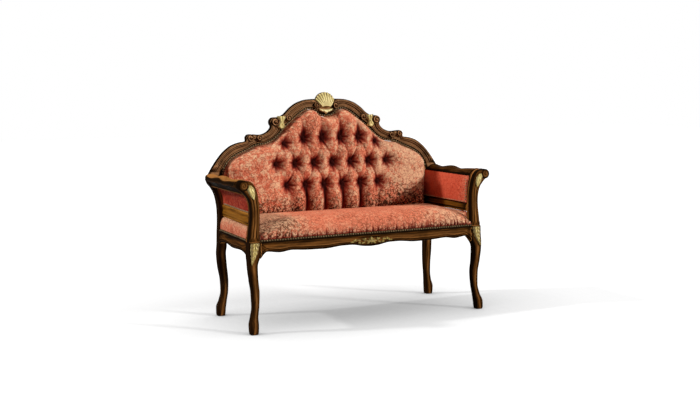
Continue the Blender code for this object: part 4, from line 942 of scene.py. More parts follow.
# Spirals: place, height, radius, rise and hand
CREST_VOLUTES = (
    (0.053, 0.9890, 0.0185, 0.025, -1), (0.2060, 0.9300, 0.0200, 0.025, -1),
    (0.2790, 0.9135, 0.0240, 0.027, 1), (0.3655, 0.8380, 0.0180, 0.026, -1),
)
EAR_VOLUTE = (0.4120, 0.8400, 0.0190, 0.026, 1)
# relief size and passes; faces turned forward and up painted lighter as highlights, the others painted darker
# as shade
CREST_RELIEF_AND_LIGHT = (0.0012, 12, (0.0, -0.30, 0.16), 0.12)
BACK_HALF = REAR_X + REAR_POST[-1][1]


def drawn_x(x):
    return x * BACK_HALF / DRAWN_HALF


def drawn_z(z):
    return POST_TOP + (z - DRAWN_FOOT) * (CREST_TOP - POST_TOP) / (DRAWN_TOP - DRAWN_FOOT)


def inner_edge(x):
    return drawn_z(between(INNER_EDGE, abs(x) * DRAWN_HALF / BACK_HALF)[0])


def rib_ends(ribs, step):
    """Inner and outer end of a rib of the crest, as (place, height)."""
    numbered = [(n, *rib) for n, rib in enumerate(ribs)]
    outer_x, outer_z, inner_x = between(numbered, step / RIB_STEPS)
    inner_x = drawn_x(inner_x)
    return (inner_x, inner_edge(inner_x)), (drawn_x(outer_x), drawn_z(outer_z))


def last_step(ribs):
    return (len(ribs) - 1) * RIB_STEPS


def on_back(x, z, rise):
    """A point standing out from the front of the back frame."""
    return (x, back_y(z) - rise, z)


def moulding(t):
    """Rise of the crest's moulding: an inner bead, a quirk, a wide cove and an outer roll."""
    if t < 0.20:
        return 0.10 * t / 0.20 + 0.58 * math.sin(math.pi * t / 0.20) ** 0.7
    if t < 0.24:
        return 0.10 + 0.28 * (t - 0.20) / 0.04
    if t < 0.58:
        s = (t - 0.24) / 0.34
        return 0.38 * (1 - s) ** 2 + 0.72 * s ** 2.4 + 0.04 + 0.16 * math.exp(-((s - 0.42) / 0.09) ** 2)
    if t < 0.61:
        return 0.76 - 0.22 * (t - 0.58) / 0.03
    s = (t - 0.61) / 0.39
    reeds = 0.09 * math.sin(math.pi * s) * math.cos(6 * math.pi * s)
    return 0.54 * (1 - s) + 0.62 * math.sin(math.pi * s) ** 0.62 + reeds


def rib_row(ends, roll, bead):
    """One moulded section of the crest, from its back inner corner round to its back outer edge."""
    (ix, iz), (ox, oz) = ends
    width = math.hypot(ox - ix, oz - iz)

    def at(t, rise):
        return on_back(ix + (ox - ix) * t, iz + (oz - iz) * t, rise)

    row = [at(0.0, -CREST_THICK), at(0.0, -0.002), at(0.06 * FLANGE / width, 0.0)]
    for k in range(MOULDING_STEPS + 1):
        share = k / MOULDING_STEPS
        t = (FLANGE + (width - FLANGE) * share) / width
        row.append(at(t, moulding(share) * MOULDING_RISE * (bead if share < 0.22 else roll)))
    return row + [at(1 - slope * CREST_TAPER / width, -CREST_THICK * depth) for slope, depth in RIB_BACK]


def add_back_volute(shape, volute, sign):
    x, z, radius, rise, hand = volute
    eye = on_back(sign * drawn_x(x), drawn_z(z), -0.004)
    add_volute(shape, eye, BACK_OUT, radius, rise, hand * sign, 0.016)


# Shell on the crest
SHELL_RADIUS = 0.0955
SHELL_RIBS = 9
SHELL_SPREAD = math.radians(43)
SHELL_DROP = 0.0625      # point where the ribs meet, below the top of the crest
SHELL_START = 0.42       # share of the radius where the ribs begin, at the sides
SHELL_BOWL = 0.12        # how much lower they begin in the middle
SHELL_BACK = 0.017       # depth of the wood that backs it
# Section of that wood: share of the shell's reach, rise
SHELL_BLOCK = ((0.3, -SHELL_BACK), (0.94, -SHELL_BACK), (1.0, 0.004 - SHELL_BACK), (1.0, -FIT), (0.3, -FIT))


def on_shell(turn, reach, rise):
    """A point of the shell at an angle and a distance from where its ribs meet."""
    return on_back(reach * math.sin(turn), CREST_TOP - SHELL_DROP + reach * math.cos(turn), rise)


def shell_reach(turn, rib):
    """Radius of the shell at an angle from its middle, drawn in between the ribs."""
    return SHELL_RADIUS * (1 - 0.2 * (turn / SHELL_SPREAD) ** 2) * (0.945 + 0.055 * rib)


def make_crest():
    rows = []
    for k in range(41):
        turn = SHELL_SPREAD * (k / 20 - 1)
        reach = shell_reach(turn, 0.8)
        rows.append([on_shell(turn, share * reach, rise) for share, rise in SHELL_BLOCK])
    crest = Shape(rows)
    rows = []
    last = last_step(CREST_RIBS)
    for k in range(-last, last + 1):
        ends = rib_ends(CREST_RIBS, abs(k))
        roll = past(ends[0][0], drawn_x(0.034), drawn_x(0.03))
        row = rib_row(ends, roll, 0.55 + 0.45 * roll)
        rows.append([(-x, y, z) for x, y, z in row] if k < 0 else row)
    crest.grid(rows)
    for _, sign in SIDES:
        for volute in CREST_VOLUTES:
            add_back_volute(crest, volute, sign)
    carved("crest_wood", crest, WALNUT_PAINTED_GLOSS, ["crest_rail"], *CREST_RELIEF_AND_LIGHT)
    for side, sign in SIDES:
        rows = []
        last = last_step(SHOULDER_RIBS)
        for k in range(last + 1):
            (ix, iz), (ox, oz) = rib_ends(SHOULDER_RIBS, k)
            if k == last:
                iz = oz = POST_TOP + FIT
            relief = past(min(iz, oz), ARM_TOP + 0.002, 0.02)
            rows.append([(sign * x, y, z) for x, y, z in rib_row(((ix, iz), (ox, oz)), relief, relief)])
        shoulder = Shape(rows)
        add_back_volute(shoulder, EAR_VOLUTE, sign)
        carved(f"shoulder_wood_{side}", shoulder, WALNUT_PAINTED_GLOSS, [f"back_shoulder_{side}"], *CREST_RELIEF_AND_LIGHT)


# Gilt carving
SHELL_RISE = (
    (0.15, 0.0185), (0.30, 0.0198), (0.50, 0.0198), (0.70, 0.0168), (0.85, 0.0118), (0.95, 0.0072),
    (1.0, 0.0035),
)
SHELL_RIDGE = 0.0044
SHELL_WORN = (0.38, 2.0, 0.45)  # wear, and what the grooves and the rim lack of it
# Lambrequin below the shell: half width, and its depth from the middle to a tip
WING_HALF = 0.036
WING_DROP = 0.0525
WING_DEPTH = (
    (0.0, 0.0215), (0.14, 0.0185), (0.28, 0.0125), (0.50, 0.0135), (0.68, 0.0095), (0.84, 0.0100),
    (1.0, 0.0030),
)


def make_shell():
    shell = Shape()
    worn, worn_groove, worn_rim = SHELL_WORN
    rows = []
    steps = SHELL_RIBS * 12
    for k in range(steps + 1):
        turn = SHELL_SPREAD * (2 * k / steps - 1)
        rib = abs(math.sin(math.pi * k / 12)) ** 0.6
        reach = shell_reach(turn, rib)
        start = SHELL_START - SHELL_BOWL * (1 - (turn / SHELL_SPREAD) ** 2)
        row = []
        for n in range(-1, 19):
            share = start + (1 - start) * max(n, 0) / 18
            rise = between(SHELL_RISE, share)[0]
            rise += (rib - 0.7) * SHELL_RIDGE * share ** 0.8 * (1.12 - share) ** 0.25
            row.append(on_shell(turn, reach * share, 0.0 if n < 0 else max(rise, 0.0018)))
            groove = max(0.95 - rib, 0.0) * past(share, 0.50, 0.25)
            shell.wear.append(worn - worn_groove * groove - worn_rim * past(share, 0.74, 0.2))
        row.append(on_shell(turn, reach, 0.0))
        shell.wear.append(-0.4)
        rows.append(row)
    shell.grid(rows)
    rows = []
    for k in range(81):
        u = k / 40 - 1
        high = CREST_TOP - WING_DROP + 0.0050 * abs(u) ** 1.6
        deep = between(WING_DEPTH, abs(u))[0]
        row = [on_back(WING_HALF * u, high - deep, 0.0), on_back(WING_HALF * u, high, 0.0)]
        shell.wear += [-0.3, -0.3]
        for n in range(15):
            t = n / 14
            crease = 0.0016 * math.cos(2 * math.pi * (2.5 * abs(u) + 0.4 * t))
            rise = 0.0105 + 0.0075 * (1 - abs(2 * t - 1) ** 2.4) * (1 - 0.5 * u * u) + crease * t
            row.append(on_back(WING_HALF * u, high - deep * t, rise))
            shell.wear.append(0.8 + 260 * crease * t - 1.2 * max(0.12 - t, 0.0))
        rows.append(row)
    shell.grid(rows)
    carved("crest_shell_gilt", shell, GILT, ["crest_shell"])


# Half widths of the leaves: share along the leaf, half width
CREST_LEAF = ((0.0, 0.0225), (0.10, 0.0205), (0.45, 0.0095), (0.78, 0.0180), (0.90, 0.0135), (1.0, 0.0020))
ARM_LEAF = ((0.0, 0.0070), (0.28, 0.0165), (0.6, 0.0140), (1.0, 0.0012))
KNEE_LEAF = ((0.0, 0.0205), (0.3, 0.0190), (0.7, 0.0105), (1.0, 0.0015))
CREST_LEAF_ENDS = ((0.2420, 0.9410), (0.2480, 0.8820))
ARM_LEAF_ENDS = ((0.0150, 0.022), (-0.0050, 0.086))
KNEE_LEAF_TOP = 0.004
KNEE_LEAF_LONG = 0.092
# Leaves of the front rail's spray: root across and up from its middle, direction, length and half width
SPRAY_LEAVES = (
    (0.005, -0.004, 58, 0.016, 0.0036), (0.006, -0.006, 16, 0.022, 0.0040),
    (0.008, -0.006, -26, 0.018, 0.0036), (0.031, 0.002, 24, 0.017, 0.0034),
    (0.033, -0.005, -18, 0.020, 0.0034), (0.057, 0.003, 6, 0.020, 0.0034),
    (0.059, -0.002, -36, 0.013, 0.0030), (0.080, 0.001, 22, 0.016, 0.0030),
    (0.088, 0.000, -8, 0.024, 0.0028),
)
SPRAY_CURLS = ((0.033, 0.0075, 0.0052), (0.060, -0.0075, 0.0050), (0.083, 0.0065, 0.0044))
SPRAY_DROP = 0.030


def make_leaves():
    crest = Shape()
    root, tip = (Vector(on_back(drawn_x(x), drawn_z(z), 0.0115)) for x, z in CREST_LEAF_ENDS)
    out = BACK_OUT.normalized()
    across = (tip - root).normalized().cross(out)
    add_leaf(crest, straight(root, tip, 44), across, out, CREST_LEAF, 0.0085, 2.0, 0.010, 0.0)
    carved_pair("crest_leaf_gilt", crest, GILT, "crest_leaf", 0.0024, 8)
    arm = Shape()
    root, tip = (Vector((LEG_X + x, SUPPORT_FRONT, ARM_TOP - drop)) for x, drop in ARM_LEAF_ENDS)
    add_leaf(arm, straight(root, tip, 48), SIDEWAYS, AHEAD, ARM_LEAF, 0.0066, 3.0, 0.003, 0.0)
    carved_pair("arm_leaf_gilt", arm, GILT, "arm_leaf", 0.0024, 8)
    knee = Shape()
    centres = []
    for k in range(56):
        t = k / 55
        z = RAIL_TOP - KNEE_LEAF_TOP - KNEE_LEAF_LONG * t
        x0, x1, y0, _, _ = front_leg_faces(z)
        centres.append(Vector(((x0 + x1) / 2 + 0.011 * t, y0, z)))
    add_leaf(knee, centres, SIDEWAYS, AHEAD, KNEE_LEAF, 0.0080, 5.0, 0.003, 0.05)
    carved_pair("knee_leaf_gilt", knee, GILT_AGED, "knee_leaf", 0.0013, 8)

    spray = Shape()
    middle = Vector((0, FRONT_Y, RAIL_TOP - SPRAY_DROP))
    for _, sign in SIDES:
        for x, z, angle, length, half in SPRAY_LEAVES:
            turn = math.radians(angle)
            run = Vector((sign * math.cos(turn), 0, math.sin(turn)))
            root = middle + Vector((sign * x, 0, z))

            def blade(t):
                return half * math.sin(math.pi * (0.12 + 0.86 * t)) ** 0.8 + 0.0004

            line = straight(root, root + run * length, 22)
            add_leaf(spray, line, run.cross(AHEAD), AHEAD, blade, 0.0060, 2.0, 0.004)
        for x, z, radius in SPRAY_CURLS:
            add_volute(spray, middle + Vector((sign * x, 0, z)), AHEAD, radius, 0.006, sign, 0.004, 1.2)

    def bud(t):
        return 0.0075 * math.sin(math.pi * (0.1 + 0.85 * t)) + 0.0004

    line = straight(middle + Vector((0, 0, -0.013)), middle + Vector((0, 0, 0.017)), 24)
    add_leaf(spray, line, SIDEWAYS, AHEAD, bud, 0.0075, 2.0, 0.004)
    carved("front_rail_spray_gilt", spray, GILT_AGED, ["front_rail_spray"], 0.0010, 6)


# Upholstery


def rounded(distance, width):
    """A quarter round from 0 at an edge to 1 at a distance from it."""
    return np.sqrt(1 - (1 - past(distance, 0.0, width)) ** 2)


def pad_half(z):
    return (post_faces(z)[0] if z < POST_TOP else BACK_HALF) - PAD_GAP


def pad_top(share):
    x = abs(share) * BACK_HALF
    beside = (max(x - 2 * PAD_GAP, 0.0), min(x + 2 * PAD_GAP, BACK_HALF))
    return min(inner_edge(place) for place in beside) - PAD_GAP


def top_slope(share):
    beside = 0.03
    return (pad_top(share) - pad_top(min(abs(share) + beside, 1.0))) / (beside * BACK_HALF)


def row_heights(share):
    """Heights of the foot, the three rows of buttons and the upper edge of the back pad."""
    low = PAD_FOOT + FIT
    top = pad_top(share)
    return [low] + [low + min(lift, limit * (top - low)) for lift, limit in zip(ROW_LIFT, ROW_LIMIT)] + [top]


def pad_swell(share, z, top, slope):
    """Rise of the back pad before it is buttoned, and how much of a tuft's depth its edge leaves."""
    below_top = (top - z) / np.hypot(1.0, slope)
    side = BACK_HALF - PAD_TUCK - np.abs(share) * BACK_HALF
    edge = np.minimum(np.minimum(below_top, side), z - PAD_FOOT + 0.006)
    swell = BACK_SWELL * (0.5 * rounded(edge, PAD_SHOULDER) + 0.5 * rounded(edge, BACK_ROUND))
    return np.maximum(swell, PAD_EDGE), rounded(edge, TUFT_ROOM)


def button_seats():
    """Every button as (label, place, height, rise of its seat)."""
    half_pitch = BUTTON_PITCH / 2 / BACK_HALF
    seats = []
    for row, count, name in BUTTON_ROWS:
        for k in range(count):
            share = (2 * k - count + 1) * half_pitch
            z = row_heights(share)[row]
            swell, room = pad_swell(share, z, pad_top(share), top_slope(share))
            seats.append((f"{name}_{k + 1}", share * pad_half(z), z, float(swell - TUFT_DEPTH * room)))
    return seats


def grid_faces(lines, columns, first=0):
    starts = [first + i * columns + j for i in range(lines - 1) for j in range(columns - 1)]
    return [(k, k + 1, k + columns + 1, k + columns) for k in starts]


def grid_rim(lines, columns):
    """Points along the border of a grid, in turn."""
    grid = np.arange(lines * columns).reshape(lines, columns)
    return [int(k) for k in (*grid[0], *grid[1:-1, -1], *grid[-1][::-1], *grid[-2:0:-1, 0])]


def speckle(x, z, scale, layer):
    """Smooth noise at every point of a grid."""
    places = zip((x * scale).ravel(), (z * scale).ravel())
    return np.array([noise.noise((px, pz, layer)) for px, pz in places]).reshape(x.shape)


PAD_COLUMNS = 400
PAD_ROWS = 222
CREASES = (0.235, 0.73, 0.62)  # depth of the creases between the buttons, and added below and above them
PIT_SHADE = (0.030, 0.034)     # half width and half height of the painted shade in the pit round a button
PAD_FOOT_SHADE = 0.13          # height of the dark strokes along the foot of the pad, painted shade where it meets the seat


def make_back_pad():
    shares = np.linspace(-1.0, 1.0, PAD_COLUMNS)
    heights = np.array([row_heights(share) for share in shares])
    slopes = np.array([top_slope(share) for share in shares])
    rows = np.linspace(0.0, 4.0, PAD_ROWS)
    step = np.minimum(rows.astype(int), 3)
    part = (rows - step)[:, None]
    z = heights[:, step].T * (1 - part) + heights[:, step + 1].T * part
    half = np.array([[pad_half(value) for value in line] for line in z])
    x = shares[None, :] * half
    swell, room = pad_swell(shares[None, :], z, heights[:, 4][None, :], slopes[None, :])
    a = 2 * shares[None, :] * BACK_HALF / BUTTON_PITCH
    b = np.clip(rows - 2.0, -1.0, 1.0)[:, None]
    fade = np.clip(6.2 - np.abs(a) - 0.8 * np.abs(b), 0.0, 1.0)
    below = np.clip(1.0 - rows, 0.0, 1.0)[:, None]
    above = np.clip(rows - 3.0, 0.0, 1.0)[:, None]
    low = np.minimum(below * 3, 1.0)
    high = np.minimum(above * 3, 1.0)
    pillow = np.sqrt(np.abs(np.sin(np.pi * (a + b) / 2) * np.sin(np.pi * (a - b) / 2)))
    pillow = pillow ** (1.0 - 0.20 * low - 0.15 * high)
    thin = fade * bell(pillow ** 2, 0.075) * (1 - low) * (1 - high)
    strength = CREASES[0] + CREASES[1] * low + CREASES[2] * np.minimum(above * 4, 1.0)
    crease = fade * (1 - pillow) * strength * (1 - 0.45 * above)
    lumps = speckle(x, z, 14, 3.0)
    broken = np.clip(0.45 + 1.3 * speckle(x, z, 75, 9.0), 0.0, 1.0)
    rise = swell - (TUFT_DEPTH * crease + 0.0020 * thin) * room
    rise += (0.0030 * lumps + TUFT_FULL * fade * pillow) * room
    pit_shade = np.zeros_like(rise)
    for _, seat_x, seat_z, level in button_seats():
        across = x - seat_x
        up = z - seat_z
        gap = np.hypot(across, up)
        rise += (level - rise) * np.exp(-(np.maximum(gap - BUTTON_RADIUS, 0.0) / 0.027) ** 1.45)
        turn = np.arctan2(up, across)
        rise += 0.0016 * np.cos(9 * turn + 60 * seat_x) * bell(gap - 0.026, 0.012) * room
        ray = 1 + 0.17 * np.cos(6 * turn + 40 * seat_x) + 0.11 * np.cos(11 * turn + 90 * seat_z + 30 * seat_x)
        pit_shade = np.maximum(pit_shade, np.exp(-(np.hypot(across / PIT_SHADE[0], up / PIT_SHADE[1]) * ray) ** 2.1))
    rise = np.maximum(rise, PAD_EDGE)
    points = [on_back(*values) for values in zip(x.ravel(), z.ravel(), rise.ravel())]
    faces = grid_faces(PAD_ROWS, PAD_COLUMNS)
    rim = grid_rim(PAD_ROWS, PAD_COLUMNS)
    behind = [len(points) + n for n in range(len(rim))]
    points += [on_back(points[k][0], points[k][2], -PAD_SEAT) for k in rim]
    faces += [(rim[n - 1], rim[n], behind[n], behind[n - 1]) for n in range(len(rim))]
    faces.append(tuple(behind))
    made = piece("back_pad_damask", points, faces, DAMASK, ["back_pad"], 80.0)

    def with_rim(values):
        return np.concatenate([values.ravel(), np.zeros(len(rim))])

    up = z - PAD_FOOT
    # painted shade in the pits round the buttons, the creases and the thin crease lines
    fold = np.clip(0.97 * pit_shade * room + 1.15 * (crease * room) ** 1.8 + 0.42 * thin * room * broken, 0.0, 0.97)
    # painted shadow of the right arm over the pad's lower right corner
    corner = past(x, 0.22, 0.18) * np.clip(1.3 - up / PAD_FOOT_SHADE, 0.0, 1.0)
    # dark strokes: painted shade along the foot, where the pad meets the seat, and in the lower right corner
    shade = np.clip(0.95 - 0.95 * up / PAD_FOOT_SHADE + 0.6 * corner, 0.0, 0.95)
    # paler overall, with painted light over its right part above the foot
    bloom = 0.35 + past(x, 0.20, 0.15) * past(up, 0.05, 0.1)
    mark(made, fold=with_rim(fold), shade=with_rim(shade), bloom=with_rim(bloom))
    mark(made, cloth=[(px, pz, 0.0) for px, _, pz in points])


BUTTON_SIDES = 28
BUTTON_RINGS = 10


def make_buttons():
    out = BACK_OUT.normalized()
    around = spokes(SIDEWAYS, SIDEWAYS.cross(out), BUTTON_SIDES)
    for label, x, z, level in button_seats():
        centre = Vector(on_back(x, z, level + FIT))
        rows = []
        for n in range(BUTTON_RINGS):
            turn = math.radians(-25 + 112 * n / (BUTTON_RINGS - 1))
            lift = BUTTON_RISE * (0.42 + 0.58 * math.sin(turn))
            row = []
            for angle, arm in around:
                pleat = 1 + 0.018 * math.cos(7 * angle) * math.cos(turn)
                row.append(centre + arm * BUTTON_RADIUS * max(math.cos(turn), 0.03) * pleat + out * lift)
            rows.append(row)
        shape = Shape(rows)
        made = piece(f"button_damask_{label}", shape.points, shape.faces, DAMASK, [f"back_button_{label}"])
        # the buttons are painted dark, as shade in their pits
        mark(made, cloth=[(px, pz, 0.0) for px, _, pz in shape.points], fold=np.full(len(shape.points), 0.97))


SWELL_FRAMES = 20
SWELL_PRESSURE = 4.0


def plump(made, free, most):
    """Let the filling press a pad's cover outwards where it is free, up to a given movement."""
    rest = points_of(made)
    pins = made.vertex_groups.new(name="held")
    pins.add([int(k) for k in np.flatnonzero(free < 0.05)], 1.0, "REPLACE")
    cloth = made.modifiers.new("swell", "CLOTH")
    cloth.settings.vertex_group_mass = pins.name
    cloth.settings.use_pressure = True
    cloth.settings.uniform_pressure_force = SWELL_PRESSURE
    cloth.settings.effector_weights.gravity = 0.0
    cloth.collision_settings.use_collision = False
    cloth.point_cache.frame_end = SWELL_FRAMES
    for number in range(1, SWELL_FRAMES + 1):
        bpy.context.scene.frame_set(number)
    swollen = points_of(made.evaluated_get(bpy.context.evaluated_depsgraph_get()))
    move = swollen - rest
    size = np.maximum(np.linalg.norm(move, axis=1), 1e-9)
    limit = most * free
    move *= (limit * np.tanh(size / np.maximum(limit, 1e-9)) / size)[:, None]
    made.modifiers.remove(cloth)
    made.vertex_groups.remove(pins)
    bpy.context.scene.frame_set(1)
    made.data.vertices.foreach_set("co", (rest + move).ravel())
    made.data.update()


SEAT_COLUMNS = 360
SEAT_ROWS = 48
SEAT_FRONT_ROWS = 8
SEAT_WING = 10           # columns of points beside each cut-out
SEAT_RIM = 7             # rows of points up the edge of the seat
SEAT_SIDE = 0.0455       # rise of the seat's ends, up to the stretchers
SEAT_ROLL = 0.0055       # how far the front rolls out over the rail
SEAT_MOVE = 0.004        # how far the swell may move the seat's cover
SEAT_CORNER = (0.065, 0.075, 0.52)  # fall of the front corners: reach across, reach back, share of the height
GATHER_STEP = (0.014, 0.052)
GATHER_TALL = (0.018, 0.060)
GATHER_HALF = (0.0030, 0.0064)
GATHER_DEEP = 0.0072
GATHER_CLOSE = (0.15, 0.55)  # place where the tucks come closer, and their steps' share there


def seat_notch():
    """Inner and back face of the cut-out in a front corner, round an arm support."""
    return LEG_X + SUPPORT_EDGES[0][1] - 0.0008, SUPPORT_BACK + 0.0008


def gathers(half):
    """Places, heights and half widths of the small tucks along the front of the seat."""
    made = []
    x = -half + 0.01
    n = 0
    while x < half - 0.01:
        n += 1
        sizes = []
        for k, (low, high) in enumerate((GATHER_STEP, GATHER_TALL, GATHER_HALF)):
            chance = min(max(0.5 + 0.9 * noise.noise((7.37 * n, 1.7 * k + 0.4, 0.3)), 0.0), 1.0)
            sizes.append(low + (high - low) * chance)
        made.append((x, sizes[1], sizes[2]))
        x += sizes[0] * (GATHER_CLOSE[1] if x > GATHER_CLOSE[0] else 1.0)
    return made


def make_seat_pad():
    notch_x, notch_y = seat_notch()
    front = SUPPORT_FRONT + 0.001
    back = REAR_Y - 0.0015
    bottom = RAIL_TOP + FIT

    def height(x, y, side):
        """Top of the pad: crowned, held up at its ends and sloped at its front corners."""
        to_notch = math.hypot(max(notch_x - abs(x), 0), max(y - notch_y, 0))
        to_front = y - front if abs(x) <= notch_x else to_notch
        edge = min(0.38 * (side - abs(x)), to_front, to_notch, 0.42 * (back - y))
        swell = 0.62 * rounded(edge, 0.05) + 0.38 * rounded(edge, 0.17)
        ends = float(min(rounded(side - abs(x), 0.024), rounded(to_notch, 0.05), rounded(to_front, 0.07)))
        z = max(bottom + SEAT_EDGE + SEAT_CROWN * float(swell), bottom + 0.020 + SEAT_SIDE * ends)
        across, deep, share = SEAT_CORNER
        fall = share * math.exp(-(max(notch_x - abs(x), 0.0) / across) ** 2 - ((y - front) / deep) ** 2)
        return z - (z - bottom) * fall * (abs(x) <= notch_x)

    depths = [front + (notch_y - front) * k / SEAT_FRONT_ROWS for k in range(SEAT_FRONT_ROWS)]
    depths += [notch_y + (back - notch_y) * k / SEAT_ROWS for k in range(SEAT_ROWS + 1)]
    middle = [notch_x * (2 * k / SEAT_COLUMNS - 1) for k in range(SEAT_COLUMNS + 1)]
    shape = bmesh.new()
    tops = []
    lows = []
    for y in depths:
        side = side_rail_faces(max(y, notch_y))[0] - 0.003
        wings = [notch_x + (side - notch_x) * k / SEAT_WING for k in range(1, SEAT_WING + 1)]
        tops.append([])
        lows.append([])
        for x in [-value for value in wings[::-1]] + middle + wings:
            tops[-1].append(shape.verts.new((x, y, height(x, y, side))))
            lows[-1].append(shape.verts.new((x, y, bottom)))
    total = len(tops[0]) - 1
    kept = [
        (i, j) for i in range(len(depths) - 1) for j in range(total)
        if i >= SEAT_FRONT_ROWS or SEAT_WING <= j < total - SEAT_WING
    ]
    inside = set(kept)
    for i, j in kept:
        shape.faces.new((tops[i][j], tops[i][j + 1], tops[i + 1][j + 1], tops[i + 1][j]))
        shape.faces.new((lows[i][j], lows[i + 1][j], lows[i + 1][j + 1], lows[i][j + 1]))
        for beside, a, b in (
            ((i - 1, j), (i, j), (i, j + 1)), ((i + 1, j), (i + 1, j + 1), (i + 1, j)),
            ((i, j - 1), (i + 1, j), (i, j)), ((i, j + 1), (i, j + 1), (i + 1, j + 1)),
        ):
            if beside not in inside:
                shape.faces.new((tops[a[0]][a[1]], lows[a[0]][a[1]], lows[b[0]][b[1]], tops[b[0]][b[1]]))
    loose = [vertex for vertex in shape.verts if not vertex.link_faces]
    bmesh.ops.delete(shape, geom=loose, context="VERTS")
    upright = [edge for edge in shape.edges if (edge.verts[0].co.xy - edge.verts[1].co.xy).length < 1e-7]
    bmesh.ops.subdivide_edges(shape, edges=upright, cuts=SEAT_RIM, use_grid_fill=True)
    tucks = gathers(notch_x)
    folds = {}
    for vertex in shape.verts:
        x, y, z = vertex.co
        lift = z - bottom
        near = max(1 - (y - front) / 0.03, 0.0)
        if lift < 1e-6 or near == 0.0 or abs(x) > notch_x - 1e-6:
            continue
        tuck = 0.0
        for place, tall, half in tucks:
            if abs(x - place) < 0.02 and lift < tall:
                reach = half * (1.3 - lift / tall)
                tuck = max(tuck, math.exp(-((x - place) / reach) ** 2) * (1 - lift / tall) ** 0.6)
        corner = min((notch_x - abs(x)) / 0.02, 1.0)
        roll = SEAT_ROLL * math.sin(math.pi * min(lift / 0.055, 1.0)) * corner
        vertex.co.y = y - near * roll + near * GATHER_DEEP * tuck * min(lift / 0.006, 1.0) * corner
        # painted shade in the tucks, and along the foot of the front where the roll turns under
        folds[vertex] = near * max(min(1.25 * tuck, 0.97), 0.62 * math.exp(-max(lift - 0.011, 0.0) / 0.007))
    shape.verts.index_update()
    points = [tuple(vertex.co) for vertex in shape.verts]
    faces = [tuple(vertex.index for vertex in face.verts) for face in shape.faces]
    fold = [folds.get(vertex, 0.0) for vertex in shape.verts]
    shape.free()
    made = piece("seat_pad_damask", points, faces, DAMASK, ["seat_pad"], 75.0)

    # Colour: dark strokes and a tan painted sheen at the left and along the top of the left end, plain coral
    # in the middle, painted highlights at the right front, and painted shade low on the ends
    x, y, z = np.array(points).T
    up = z - bottom
    deep = y - front
    at_end = past(np.abs(x), notch_x, 0.004)
    left = past(-x, 0.28, 0.14)
    inside = past(-np.abs(x), -notch_x, 0.01)
    hem = np.clip(1 - deep / 0.03, 0.0, 1.0) * bell(np.maximum(up - 0.010, 0.0), 0.013) * inside
    strokes = 0.74 * left * bell(deep - 0.050, 0.085) + 0.25 * past(x, 0.20, 0.15) * bell(deep - 0.02, 0.04)
    calm = (1 - left) * np.clip(1 - (x - 0.25) / 0.2, 0.3, 1.0) * (1 - hem)
    # painted sheen at the left, rising from the foot
    painted_sheen_left = left * np.clip((up - 0.012 - 0.020 * at_end) / (0.04 - 0.020 * at_end), 0.0, 2.0)
    # painted highlights on the right of the front
    painted_highlight_right = (0.8 + 0.8 * bell(deep, 0.03)) * past(x, 0.22, 0.25) * (1 - at_end)
    mark(
        made, cloth=np.stack([x, y + z, 0.0 * x], axis=1),
        # painted shade low on the seat's ends
        fold=np.maximum(fold, 0.24 * at_end * np.clip(1.15 - up / 0.050, 0.0, 1.0)),
        shade=np.clip(inside * strokes + 0.85 * hem, 0.0, 1.0),
        calm=np.maximum(calm, 1.1 * at_end * np.clip(1.9 - up / 0.035, 0.0, 1.0)),
        bloom=np.maximum(1.25 * painted_sheen_left, painted_highlight_right) + 1.5 * hem,
    )
    free = past(up, 0.0, 0.012) * past(side_rail_faces(notch_y)[0], np.abs(x), 0.05) * past(back, y, 0.05)
    free *= np.where((np.abs(x) > notch_x - 0.03) & (y < notch_y + 0.03), 0.0, 1.0)
    plump(made, free, SEAT_MOVE)


STRETCHER_TOP = RAIL_TOP + STRETCHER_LOW + STRETCHER_DEEP
ARM_PAD_SWELL = 0.009
ARM_PAD_RINGS = 70
ARM_PAD_STEPS = 6        # points along each side of its section
ARM_PAD_MOVE = 0.004     # how far the swell may move an arm pad's cover


